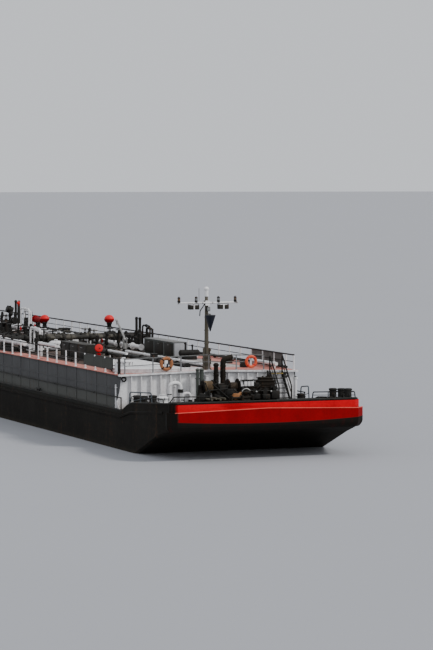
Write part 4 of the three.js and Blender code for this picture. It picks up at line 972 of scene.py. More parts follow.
@dataclass
class GuardRails:
    """Guard rails round the trunk's deck: white posts with feet and sleeves, and dark bars."""

    pitch: float = 1.8097
    leads: tuple[tuple[str, int, float], ...] = (("starboard", -1, 0.6), ("port", 1, 1.18))
    side_post: float = 0.046
    end_post: float = 0.034

    def build(self) -> None:
        """Dress the rails and fit every post."""
        dress(Coat.GEAR, "rail_starboard", "rail_port")
        dress(Coat.PIPE, "rail_front", "rail_aft")
        for name, side, lead in self.leads:
            stations = [RAIL_AFT + 0.1, RAIL_FRONT - 0.1]
            x = RAIL_FRONT - 0.1 - lead
            while x > RAIL_AFT + 0.55:
                stations.append(x)
                x -= self.pitch
            self.posts(f"posts_{name}", [(x, side * RAIL_Y) for x in stations], self.side_post)
        for name, x, low, high in (("front", RAIL_FRONT, 0.3 - RAIL_Y, 3.4),
                                   ("aft", RAIL_AFT, -3.4, RAIL_Y - 0.3)):
            steps = round((high - low) / self.pitch)
            self.posts(f"posts_{name}", [(x, low + (high - low) * i / steps) for i in range(steps + 1)],
                       self.end_post, Coat.PALE)
        self.corner_posts()
        self.top_bar()

    def top_bar(self) -> None:
        """Sleeve the port rail's top bar."""
        work = Workpiece("rail_sleeve_port", Coat.GEAR)
        z = deck_z(RAIL_Y) + RAIL_TOP
        work.rod((RAIL_AFT + 0.1, RAIL_Y, z), (RAIL_FRONT - 0.1, RAIL_Y, z), 0.045, sides=8)
        for i in range(9):
            x = RAIL_FRONT - 0.1 - i * 7.2
            work.rod((x - 0.06, RAIL_Y, z), (x, RAIL_Y, z), 0.055, sides=8)
        work.finish()

    def posts(self, name: str, places: Sequence[tuple[float, float]], radius: float,
              coat: Coat = Coat.WHITE) -> None:
        """Fit the posts of one rail.

        Args:
            name: The piece's name.
            places: Where each post stands, x and y.
            radius: The posts' radius.
            coat: The posts' coat.
        """
        work = Workpiece(name, coat)
        for x, y in places:
            deck = deck_z(y)
            work.coat(coat)
            work.post((x, y), deck, deck + RAIL_TOP - 0.03, radius, sides=8)
            work.post((x, y), deck, deck + 0.03, 0.085, 0.07, 8)
            work.coat(Coat.GEAR)
            work.ball((x, y, deck + RAIL_TOP), radius, sides=8)
        work.finish()

    def corner_posts(self) -> None:
        """Stand the white end panel and the black cable post at the starboard fore corner."""
        work = Workpiece("rail_end_panel", Coat.WHITE)
        deck = deck_z(5.3)
        work.block((28.3, -5.36, deck + 0.1), (28.72, -5.33, deck + 0.62), 0.01)
        for z in (0.16, 0.5):
            work.block((28.26, -5.38, deck + z), (28.76, -5.355, deck + z + 0.05), 0.008)
        work.coat(Coat.GEAR)
        work.block((28.79, -5.37, deck), (28.93, -5.23, deck + 0.92), 0.012)
        work.tube([(28.86, -5.3, deck + 0.88), (28.86, -5.3, deck + 1.0), (28.93, -5.2, deck + 1.02)], 0.03,
                  0.05)
        work.finish()


@dataclass
class LifeRings:
    """Life rings on the front rail: foam ring, four bands, a bracket and a water light."""

    height: float = 5.5
    x: float = 29.03

    def build(self) -> None:
        """Make both rings."""
        # The starboard ring is a painted-shade copy of the port one: browner foam and black bands in place of
        # red.
        for name, y, radius, foam, coat in (
                ("starboard", -2.54, 0.31, 0.1, Coat.WORN), ("port", 2.6, 0.29, 0.088, Coat.ORANGE)):
            work = Workpiece(f"life_ring_{name}", coat)
            centre = (self.x, y, self.height)
            work.ring(centre, ALONG, radius, foam, 32, 10)
            work.coat(Coat.GEAR if coat is Coat.WORN else Coat.CAP)
            for quarter in range(4):
                middle = math.tau * (quarter + 0.5) / 4
                arc = [(self.x, y + radius * math.cos(middle + step),
                        self.height + radius * math.sin(middle + step))
                       for step in (-0.11, 0.0, 0.11)]
                work.tube(arc, foam * 1.04, 0.0, 10)
            work.coat(Coat.WHITE)
            work.block((28.97, y - 0.05, self.height - 0.3), (29.0, y + 0.05, self.height + 0.35), 0.01)
            if coat is Coat.WORN:
                work.block((29.0, y - 0.13, self.height - 0.16), (29.1, y + 0.07, self.height + 0.2), 0.03)
                work.coat(Coat.CONE)
                work.block((29.0, y - 0.02, self.height - 0.2), (29.12, y + 0.1, self.height + 0.02), 0.03)
            work.finish()


@dataclass
class TankHatches:
    """Cargo tank hatches: raised square plates, coaming sleeves, dogs and lids."""

    places: tuple[tuple[float, float], ...] = ((25.6, -3.9), (7.6, -2.2), (-6.5, -2.2), (-18.7, -2.2))
    radius: float = 0.42
    height: float = 0.45
    plate_half: float = 0.68
    plate_shift: float = -0.2

    def build(self) -> None:
        """Dress the lids and make the coamings' and lids' fittings."""
        for i, (x, y) in enumerate(self.places, 1):
            dress(Coat.WHITE, f"tank_hatch_lid_{i}")
            self.coaming(i, x, y)
            self.lid_fittings(i, x, y)

    def coaming(self, number: int, x: float, y: float) -> None:
        """Build the sleeve and dogs round the coaming and, aft of the low platform, its square plate.

        Args:
            number: The hatch's number, from the bow.
            x: Its station.
            y: Its distance from the centreline.
        """
        deck = deck_z(y)
        work = Workpiece(f"tank_hatch_coaming_{number}", Coat.WHITE)
        inner, outer = self.radius + 0.004, self.radius + 0.028
        work.turned([(inner, -0.02), (outer, -0.02), (outer, 0.4), (inner, 0.4)], (x, y, deck), sides=32,
                    closed=True)
        if number > 1:
            self.square_plate(work, x, y + self.plate_shift, deck)
        work.coat(Coat.GEAR)
        for dx, dy in spokes(8, self.radius + 0.085, 0.5):
            work.post((x + dx, y + dy), deck + 0.27, deck + 0.42, 0.016, sides=6)
            work.ball((x + dx, y + dy, deck + 0.42), 0.028, (1, 1, 0.8), 8)
        work.finish()

    def square_plate(self, work: Workpiece, x: float, y: float, deck: float) -> None:
        """Add a square plate on four legs, open round the coaming and its hinge.

        Args:
            work: The piece to add to.
            x: The plate's middle station.
            y: Its middle distance from the centreline.
            deck: The deck's height under it.
        """
        reach, hole = self.plate_half, self.radius + 0.05
        hole_y = -self.plate_shift
        for low, high in (((-reach, -reach), (-self.radius - 0.13, reach)), ((hole, -reach), (reach, reach)),
                          ((-self.radius - 0.13, -reach), (hole, hole_y - hole)),
                          ((-self.radius - 0.13, hole_y + hole), (hole, reach))):
            if high[1] > low[1]:
                work.block((x + low[0], y + low[1], deck + 0.2), (x + high[0], y + high[1], deck + 0.25),
                           0.01)
        for dx in (-reach + 0.06, reach - 0.06):
            for dy in (-reach + 0.06, reach - 0.06):
                work.post((x + dx, y + dy), deck - 0.02, deck + 0.22, 0.035, sides=8)

    def lid_fittings(self, number: int, x: float, y: float) -> None:
        """Add the lid's ullage cap and lifting hoop, which ride with the lid.

        Args:
            number: The hatch's number.
            x: Its station.
            y: Its distance from the centreline.
        """
        foot = deck_z(y) - 0.02 + self.height
        work = Workpiece(f"tank_hatch_cap_{number}", Coat.WHITE)
        work.turned([(0.0, 0.14), (0.11, 0.14), (0.11, 0.25), (0.09, 0.28), (0.0, 0.28)], (x, y, foot),
                    sides=16)
        work.coat(Coat.GEAR)
        work.tube([(x + 0.25, y - 0.12, foot + 0.1), (x + 0.25, y - 0.12, foot + 0.24),
                   (x + 0.25, y + 0.12, foot + 0.24), (x + 0.25, y + 0.12, foot + 0.1)], 0.016, 0.05, 6)
        work.finish(f"hatch_lid_{number}")


@dataclass
class DeckPiping:
    """Pipes on the trunk's deck: cargo lines, loading manifold, vapour line, pump risers and their valves."""

    line_radius: float = 0.13
    starboard_y: float = -1.0
    starboard_lift: float = 0.22
    port_y: float = 1.9
    port_lift: float = 0.36
    stripping_y: float = -1.55
    valve_first: float = -21.2
    valve_pitch: float = 1.875
    valve_count: int = 14
    manifold_x: float = 5.0
    manifold_lift: float = 0.65
    vapour_y: float = 2.75
    relief: tuple[tuple[float, float], ...] = ((3.5, 1.97), (-10.4, 1.35), (-24.7, 1.35))
    risers: tuple[tuple[float, float, float, float, Coat, tuple[float, ...]], ...] = (
        (6.71, -3.5, 2.0, 1.55, Coat.WHITE, ()),
        (-18.4, 3.6, 1.95, 1.55, Coat.WHITE, (0.8, 1.6)),
        (7.9, 3.6, 1.4, 1.6, Coat.GEAR, (0.8, 1.46)))

    def build(self) -> None:
        """Dress the pipes and add everything bolted to them."""
        dress(Coat.GEAR, "cargo_line_starboard", "pump_riser_3")
        dress(Coat.CROSS, "loading_manifold")
        dress(Coat.PIPE, "vapour_line")
        dress(Coat.WHITE, "cargo_line_port", "pump_riser_1", "pump_riser_2")
        self.saddles("starboard", self.starboard_y, self.starboard_lift, (5.2, 28.0), Coat.GEAR)
        self.saddles("port", self.port_y, self.port_lift, (-23.0, 12.0), Coat.WHITE)
        self.stripping_valves()
        self.manifold()
        self.vapour()
        self.pumps()
        self.branches()

    def saddles(self, name: str, y: float, lift: float, ends: tuple[float, float], coat: Coat) -> None:
        """Put flanges, pads and clamps along a cargo line.

        Args:
            name: The line's side.
            y: Its distance from the centreline.
            lift: Its height above the deck.
            ends: The stations between which it has them.
            coat: Its coat.
        """
        z, pad = deck_z(y) + lift, deck_z(y)
        work = Workpiece(f"cargo_line_fittings_{name}", coat)
        x = ends[0]
        while x < ends[1]:
            flange(work, (x, y, z), ALONG, self.line_radius)
            if x + 1.6 < ends[1]:
                work.block((x + 1.4, y - 0.2, pad - 0.01), (x + 1.56, y + 0.2, pad + 0.05), 0.01)
                work.tube([(x + 1.48, y - 0.16, z - 0.16), (x + 1.48, y - 0.16, z + 0.02),
                           (x + 1.48, y, z + 0.16),
                           (x + 1.48, y + 0.16, z + 0.02), (x + 1.48, y + 0.16, z - 0.16)], 0.02, 0.1, 6)
            x += STOOL_PITCH
        work.finish()

    def stripping_valves(self) -> None:
        """Add the valves' flanges, yokes and wheel rims, and the joints of the stripping line beside them."""
        z = deck_z(self.starboard_y) + self.starboard_lift
        work = Workpiece("stripping_valve_fittings", Coat.GEAR)
        for i in range(self.valve_count):
            x = self.valve_first + i * self.valve_pitch
            for side in (-1, 1):
                flange(work, (x + side * 0.29, self.starboard_y, z), ALONG, 0.14, 6)
                work.rod((x + side * 0.1, self.starboard_y, z + 0.3),
                         (x + side * 0.03, self.starboard_y, z + 0.68), 0.02, sides=6)
            work.ring((x, self.starboard_y, z + 0.725), UP, 0.27, 0.032, 20, 6)
            work.post((x, self.starboard_y), z + 0.7, z + 0.86, 0.028, sides=6)
            flange(work, (x + self.valve_pitch / 2, self.stripping_y, z), ALONG, 0.11, 6)
            flange(work, (x, (self.starboard_y + self.stripping_y) / 2, z), ACROSS, 0.08, 6)
        work.finish()

    def manifold(self) -> None:
        """Put flanges, valve rims, drip trays and drop pipes on the loading manifold."""
        z = deck_z(0) + self.manifold_lift
        work = Workpiece("loading_manifold_fittings", Coat.CROSS)
        for x in (self.manifold_x - 0.9, self.manifold_x + 0.9):
            for side in (-1, 1):
                for y in (3.7, 2.9, 2.3):
                    flange(work, (x, side * y, z), ACROSS, 0.15, 8)
                work.ring((x, side * 2.6, z + 0.42), UP, 0.2, 0.03, 18, 6)
                work.post((x, side * 2.6), z, z + 0.26, 0.15, 0.08, 12)
            for y in (-0.9, 0.9):
                valve(work, (x, y, z), ACROSS, 0.14, Coat.CROSS, 0.42)
        deck = deck_z(4.3)
        for side in (-1, 1):
            low, high = sorted((side * 3.9, side * 4.75))
            for a, b in (((3.6, low), (6.4, low + 0.03)), ((3.6, high - 0.03), (6.4, high)),
                         ((3.6, low), (3.63, high)), ((6.37, low), (6.4, high))):
                work.block((a[0], a[1], deck - 0.02), (b[0], b[1], deck + 0.18), 0.006)
        for y in (-3.1, -1.8, 0.2, 1.4, 3.3):
            work.tube([(3.4, y, deck_z(y)), (3.4, y, deck_z(y) + 0.4), (4.1, y, z)], 0.05, 0.12)
            work.post((5.9, y), z, deck_z(y), 0.045, sides=8)
        work.finish()

    def vapour(self) -> None:
        """Fit the relief risers' red caps, dark necks and flanges, and the red flame arrester."""
        deck = deck_z(self.vapour_y)
        work = Workpiece("relief_caps", Coat.CAP)
        for x, height in self.relief:
            foot = deck + height - 0.55
            work.coat(Coat.CAP)
            work.turned([(0.0, 0.3), (0.326, 0.3), (0.325, 0.34), (0.27, 0.44), (0.17, 0.53), (0.08, 0.565),
                         (0, 0.57)], (x, self.vapour_y, foot), sides=28)
            # Painted shade: the caps' lower halves take the darker fender red.
            work.coat(Coat.FENDER)
            work.turned([(0, 0.06), (0.19, 0.07), (0.28, 0.14), (0.328, 0.24), (0.327, 0.3), (0, 0.3)],
                        (x, self.vapour_y, foot), sides=28)
            work.ring((x, self.vapour_y, foot + 0.24), UP, 0.318, 0.02, 28, 6)
            work.coat(Coat.GEAR)
            work.post((x, self.vapour_y), foot - 0.16, foot + 0.04, 0.12, 0.19, 14)
            work.coat(Coat.WHITE)
            work.post((x, self.vapour_y), deck + 0.4, foot - 0.16, 0.105, sides=12)
            work.coat(Coat.GEAR)
            flange(work, (x, self.vapour_y, foot - 0.19), UP, 0.1, 6)
            flange(work, (x, self.vapour_y, deck + 0.5), UP, 0.1, 6)
            work.ball((x, self.vapour_y, deck + 0.3), 0.15, (1.3, 1, 1), 12)
        fore, z = self.relief[1][0], deck + 0.98
        work.coat(Coat.FENDER)
        work.turned([(0, 0), (0.1, 0), (0.19, 0.1), (0.19, 2.0), (0.1, 2.12), (0, 2.12)],
                    (fore - 2.24, self.vapour_y, z), ALONG, 20)
        for x in (fore - 2.06, fore - 0.34):
            flange(work, (x, self.vapour_y, z), ALONG, 0.17, 8)
        work.coat(Coat.GEAR)
        work.post((fore - 1.9, self.vapour_y), deck, z, 0.06, sides=8)
        work.coat(Coat.PIPE)
        for i in range(12):
            flange(work, (-25.0 + i * 3.1, self.vapour_y, deck + 0.3), ALONG, 0.08, 6)
        work.finish()

    def pumps(self) -> None:
        """Fit feet, flanges and dark partner pipes on the pump risers, and dress their tall breathers."""
        work = Workpiece("pump_riser_fittings", Coat.WHITE)
        for x, y, span, height, coat, breathers in self.risers:
            deck = deck_z(y)
            for offset, lower in ((-0.1, 0.0), (0.1, 0.16)):
                work.coat(coat)
                for end in (x + lower, x + span - lower):
                    flange(work, (end, y + offset, deck + 0.2), UP, 0.07, 6)
                flange(work, (x + span / 2, y + offset, deck + height - 0.058 - lower), ALONG, 0.062, 6)
            work.coat(Coat.GEAR)
            for end in (x + 0.09, x + span - 0.25):
                work.post((end, y + 0.19), deck, deck + height - 0.28, 0.04, sides=8)
            work.rod((x + 0.09, y + 0.19, deck + height - 0.28),
                     (x + span - 0.25, y + 0.19, deck + height - 0.28), 0.04, sides=8)
            work.post((x + span / 2, y), deck, deck + 0.6, 0.13, sides=12)
            work.post((x + span / 2, y), deck + 0.6, deck + 0.86, 0.19, 0.16, 14)
            for before in breathers:
                work.post((x - before, y), deck, deck + 1.84, 0.086, sides=12)
                flange(work, (x - before, y, deck + 1.0), UP, 0.086, 6)
                work.turned([(0, 1.84), (0.09, 1.84), (0.105, 1.92), (0.07, 2.0), (0, 2.01)],
                            (x - before, y, deck))
        work.finish()

    def branches(self) -> None:
        """Run the smaller pipes, branch valves and standpipes between the big lines."""
        work = Workpiece("deck_branch_pipes", Coat.GEAR)
        for x, y, height, wheel in (
                (7.4, 0.6, 0.7, Coat.GEAR), (8.6, -1.9, 0.6, Coat.GEAR), (9.3, 2.5, 0.75, Coat.GEAR),
                (2.2, 3.4, 0.75, Coat.GEAR), (1.1, 0.4, 0.6, Coat.CAP), (-2.3, 3.3, 0.7, Coat.GEAR),
                (-8.8, 1.2, 0.65, Coat.GEAR), (-13.2, 3.2, 0.8, Coat.CAP), (-19.5, 1.0, 0.7, Coat.GEAR),
                (10.5, 3.1, 0.6, Coat.GEAR), (-5.0, 0.6, 0.7, Coat.GEAR), (-22.2, 3.2, 0.9, Coat.GEAR),
                (-6.8, 0.2, 1.0, Coat.CAP), (8.1, 1.0, 0.9, Coat.FENDER), (8.7, 1.6, 1.1, Coat.GEAR),
                (9.9, 1.9, 0.9, Coat.GEAR), (8.9, 2.9, 1.2, Coat.GEAR), (10.3, 2.4, 1.0, Coat.GEAR)):
            self.standpipe(work, (x, y, deck_z(y)), height, wheel)
        for y, x0, x1, lift, radius, coat in (
                (-0.4, -28.0, 19.4, 0.1, 0.05, Coat.PIPE), (0.1, -28.0, 27.8, 0.1, 0.06, Coat.GEAR),
                (2.35, -20.0, 11.8, 0.12, 0.05, Coat.PIPE), (3.2, -26.0, 7.4, 0.14, 0.06, Coat.PIPE),
                (4.45, 24.5, 28.3, 0.3, 0.1, Coat.WHITE), (4.9, -29.0, 21.8, 0.12, 0.05, Coat.GEAR),
                (5.12, -17.4, -6.5, 0.12, 0.07, Coat.GEAR), (5.12, 13.0, 28.2, 0.12, 0.08, Coat.GEAR),
                (-4.5, -29.6, 8.4, 0.6, 0.15, Coat.WHITE), (-4.5, 11.4, 14.8, 0.8, 0.09, Coat.WHITE),
                (-1.9, 17.0, 20.4, 0.52, 0.07, Coat.WHITE), (-2.2, 18.1, 20.3, 0.42, 0.1, Coat.DARK),
                (-4.3, -29.0, 18.5, 0.1, 0.05, Coat.GEAR), (0.75, 12.6, 27.6, 0.14, 0.08, Coat.WHITE)):
            self.small_pipe(work, y, (x0, x1), lift, radius, coat)
        work.coat(Coat.GEAR)
        for x in (-20.4, -12.0, -1.2, 1.8, 9.8):
            work.tube([(x, -3.9, deck_z(3.9)), (x, -3.9, deck_z(3.9) + 0.2), (x, 3.3, deck_z(3.3) + 0.2),
                       (x, 3.3, deck_z(3.3) + 0.05)], 0.045, 0.1)
        work.finish()

    def standpipe(self, work: Workpiece, foot: Point, height: float, wheel: Coat) -> None:
        """Add an upright branch with a valve and a hooked end.

        Args:
            work: The piece to add to.
            foot: Where it leaves the deck.
            height: Its height.
            wheel: The coat of its handwheel.
        """
        x, y, deck = foot
        work.rod(foot, (x, y, deck + height), 0.075, sides=10)
        flange(work, (x, y, deck + 0.15), UP, 0.08, 6)
        valve(work, (x, y, deck + height * 0.6), UP, 0.08, wheel, 0.3, (0, -1, 0))
        work.tube([(x, y, deck + height), (x, y, deck + height + 0.12), (x + 0.3, y, deck + height + 0.12),
                   (x + 0.3, y, deck + height - 0.05)], 0.06, 0.12)

    def small_pipe(self, work: Workpiece, y: float, ends: tuple[float, float], lift: float, radius: float,
                   coat: Coat) -> None:
        """Add a lengthways pipe with its stools and sockets.

        Args:
            work: The piece to add to.
            y: Its distance from the centreline.
            ends: Its end stations.
            lift: Its height above the deck.
            radius: Its radius.
            coat: Its coat.
        """
        z = deck_z(y) + lift
        work.coat(coat)
        work.rod((ends[0], y, z), (ends[1], y, z), radius, sides=10)
        for i in range(int((ends[1] - ends[0] - 0.5) / STOOL_PITCH) + 1):
            x = ends[0] + 0.4 + i * STOOL_PITCH
            work.coat(Coat.GEAR if radius > 0.12 else coat)
            work.block((x, y - 0.07, deck_z(y) - 0.01), (x + 0.06, y + 0.07, z), 0.008)
            work.coat(coat)
            work.rod((x - 0.03, y, z), (x + 0.09, y, z), radius * 1.2, sides=10)


@dataclass
class DeckBoxes:
    """Lockers, the low platform and the windbreak screens on the trunk's deck."""

    def build(self) -> None:
        """Dress the boxes and screens and add lids, panels, hinges and frames."""
        dress(Coat.DARK, "dark_locker")
        dress(Coat.GREEN, "grey_locker")
        dress(Coat.WHITE, "deck_platform")
        dress(Coat.SCREEN, "starboard_screen")
        dress(Coat.MESH, "port_screen")
        self.locker("dark_locker_fittings", (12.7, -3.5), (17.6, -2.8), 0.9, Coat.DARK, Coat.DARK, Coat.DARK)
        # The grey locker's fore end is pale as painted light on the face that looks forward.
        self.locker("grey_locker_fittings", (12.1, 2.15), (17.4, 2.95), 0.92, Coat.DARK, Coat.PIPE, Coat.PALE)
        self.platform()
        self.screens()
        self.loose_gear()

    def locker(self, name: str, low: tuple[float, float], high: tuple[float, float], height: float,
               sides: Coat, rim: Coat, end: Coat) -> None:
        """Add a locker's lid, corner bars, side panels, fore end, hinges and handles.

        Args:
            name: The piece's name.
            low: Its aft starboard corner, x and y.
            high: Its fore port corner.
            height: Its height above the deck.
            sides: The coat of its side panels.
            rim: The coat of its lid and corner bars.
            end: The coat of its fore end.
        """
        (x0, y0), (x1, y1) = low, high
        deck = deck_z((y0 + y1) / 2)
        top = deck + height
        work = Workpiece(name, rim)
        work.block((x0 - 0.04, y0 - 0.04, top - 0.01), (x1 + 0.04, y1 + 0.04, top + 0.04), 0.015)
        work.coat(end)
        work.block((x1 - 0.005, y0 + 0.02, deck + 0.02), (x1 + 0.045, y1 - 0.02, top - 0.02), 0.008)
        panels = 3
        pitch = (x1 - x0) / panels
        for i in range(panels + 1):
            x = x0 + pitch * i
            work.coat(rim)
            for a, b in ((y0 - 0.025, y0), (y1, y1 + 0.025)):
                work.block((x - 0.04, a, deck), (x + 0.04, b, top), 0.006)
            if i < panels:
                self.locker_panel(work, x + pitch / 2, pitch * 0.42, (y0, y1), (deck, top), sides)
        work.finish()

    def locker_panel(self, work: Workpiece, middle: float, half: float, walls: tuple[float, float],
                     heights: tuple[float, float], coat: Coat) -> None:
        """Add one sunk panel to each long side, with two hinges and a handle.

        Args:
            work: The piece to add to.
            middle: The panel's middle station.
            half: Half its length.
            walls: The y of the two sides.
            heights: The heights of the deck and of the lid.
            coat: The panel's coat.
        """
        (y0, y1), (deck, top) = walls, heights
        work.coat(coat)
        work.block((middle - half, y0 - 0.015, deck + 0.1), (middle + half, y0, top - 0.08), 0.008)
        work.block((middle - half, y1, deck + 0.1), (middle + half, y1 + 0.015, top - 0.08), 0.008)
        work.coat(Coat.STEEL)
        for side in (-0.21, 0.21):
            work.rod((middle + side - 0.09, y1 + 0.03, top + 0.01),
                     (middle + side + 0.09, y1 + 0.03, top + 0.01), 0.02, sides=6)
        work.tube([(middle - 0.1, y0 - 0.015, top - 0.16), (middle - 0.1, y0 - 0.08, top - 0.16),
                   (middle + 0.1, y0 - 0.08, top - 0.16), (middle + 0.1, y0 - 0.015, top - 0.16)],
                  0.014, 0.04, 6)

    def platform(self) -> None:
        """Add the platform's rim, its plate joints and feet."""
        top = 5.19
        work = Workpiece("deck_platform_fittings", Coat.WHITE)
        plan = [(19.6, -1.22), (19.6, -3.0), (27.0, -5.0), (28.0, -5.0), (28.85, -3.4), (28.85, -0.32),
                (28.36, -0.32), (28.36, -1.22)]
        work.tube([(x, y, top) for x, y in [*plan, plan[0]]], 0.025, 0.0, 6)
        for x, y in ((21.4, -3.4), (23.2, -3.9), (27.4, -4.9)):
            work.block((x, y, top - 0.006), (x + 0.03, -1.26, top + 0.01))
        work.coat(Coat.GEAR)
        for x in (20.4, 22.3, 24.2, 26.1):
            y = -3.0 - (x - 19.6) * 2.0 / 7.4
            work.block((x - 0.12, y - 0.05, 4.96), (x + 0.12, y + 0.1, 5.1), 0.01)
        work.finish()

    def screens(self) -> None:
        """Frame both windbreak screens and set three white knobs along the top of the starboard one."""
        work = Workpiece("screen_frames", Coat.GEAR)
        deck = deck_z(RAIL_Y)
        for side, x0, x1, low, high in ((-1, 22.75, 27.9, 0.24, 0.84), (1, 22.2, 27.0, 0.1, 0.82)):
            y = side * 5.352
            corners = [(x0, y, deck + low), (x1, y, deck + low), (x1, y, deck + high), (x0, y, deck + high)]
            work.tube([*corners, corners[0]], 0.024, 0.0, 6)
            for i in range(1, 3):
                x = x0 + (x1 - x0) * i / 3
                work.post((x, y), deck + low, deck + high, 0.02, sides=6)
        work.coat(Coat.WHITE)
        for x in (23.0, 24.8, 26.6):
            work.ball((x, -5.38, deck + 0.83), 0.05)
        work.finish()

    def loose_gear(self) -> None:
        """Stand the small fixed gear about the deck: the wheel on its bracket and the small boxes."""
        work = Workpiece("deck_small_gear", Coat.DARK)
        x, y, z = 19.65, -3.4, 5.88
        work.ring((x - 0.03, y, z), (1, -0.25, 0.1), 0.235, 0.022, 24, 8)
        work.coat(Coat.CAP)
        work.turned([(0, -0.05), (0.2, -0.05), (0.24, 0.0), (0.2, 0.05), (0, 0.08)], (x, y, z),
                    (1, -0.25, 0.1), 24)
        work.coat(Coat.GEAR)
        work.ball((x + 0.09, y + 0.03, z), 0.04)
        work.post((x, y), deck_z(y), z - 0.22, 0.06, sides=8)
        work.coat(Coat.FENDER)
        work.block((x - 0.1, y - 0.12, z - 0.5), (x + 0.1, y + 0.1, z - 0.28), 0.03)
        self.deck_machine(work)
        for x, y, size, coat in (
                (12.4, -0.2, 0.3, Coat.DARK), (19.0, 0.3, 0.24, Coat.GEAR), (16.4, 3.8, 0.26, Coat.WHITE),
                (2.2, -3.9, 0.32, Coat.GEAR), (-3.4, -0.1, 0.3, Coat.GEAR), (-9.5, -4.2, 0.26, Coat.GEAR),
                (-14.0, 0.7, 0.3, Coat.DARK), (-22.0, 2.0, 0.34, Coat.WHITE), (-7.0, 3.1, 0.42, Coat.GEAR),
                (24.5, 1.6, 0.26, Coat.DARK), (2.6, 0.6, 0.34, Coat.WHITE), (26.6, 3.1, 0.24, Coat.GEAR),
                (1.2, -0.2, 0.3, Coat.MAST), (22.6, 3.7, 0.24, Coat.GEAR), (21.0, 0.9, 0.2, Coat.GEAR),
                (-11.2, 0.1, 0.5, Coat.GEAR), (-3.0, -3.2, 0.5, Coat.GEAR), (4.4, -3.1, 0.4, Coat.GEAR)):
            z = deck_z(y)
            work.coat(coat)
            work.box((x, y), (size, size * 0.7), z - 0.01, z + size * 1.4, 0.02)
            work.block((x - size - 0.02, y - size * 0.7 - 0.02, z + size * 1.35),
                       (x + size + 0.02, y + size * 0.7 + 0.02, z + size * 1.5), 0.01)
            work.coat(Coat.STEEL)
            work.rod((x - 0.06, y - size * 0.7 - 0.03, z + size), (x + 0.06, y - size * 0.7 - 0.03, z + size),
                     0.015, sides=6)
        work.finish()

    def deck_machine(self, work: Workpiece) -> None:
        """Add the round cross-lying machine ahead of the port locker and the tall black post far aft.

        Args:
            work: The piece to add to.
        """
        work.coat(Coat.GEAR)
        work.rod((19.0, 2.0, 5.42), (19.0, 3.1, 5.42), 0.2, sides=18)
        for y in (2.0, 3.1):
            work.ball((19.0, y, 5.42), 0.2, (1, 0.6, 1), 14)
        work.block((18.7, 2.15, 4.98), (19.3, 2.95, 5.26), 0.03)
        for y, top in ((2.3, 6.0), (2.75, 5.86)):
            work.post((19.0, y), 5.55, top, 0.05, sides=10)
            work.ball((19.0, y, top), 0.08)
        work.post((-9.6, 0.0), 5.0, 7.1, 0.1, sides=12)
        work.rod((-9.7, 0.2, 6.75), (-9.7, -0.2, 6.9), 0.24, sides=16)
        work.ball((-9.4, 0.0, 6.55), 0.17)
        valve(work, (-10.5, 0.0, 5.9), ACROSS, 0.15, Coat.GEAR, 0.5)
        work.post((-10.5, 0.0), 5.0, 6.1, 0.2, 0.14, 14)
        valve(work, (-8.9, 0.1, 6.1), ALONG, 0.13, Coat.GEAR, 0.45)
        work.post((-7.7, 0.0), 5.0, 7.3, 0.05, sides=8)
        work.coat(Coat.CAP)
        work.ball((-7.6, 0.0, 7.37), 0.12)
        work.ball((-7.8, 0.05, 7.2), 0.07)


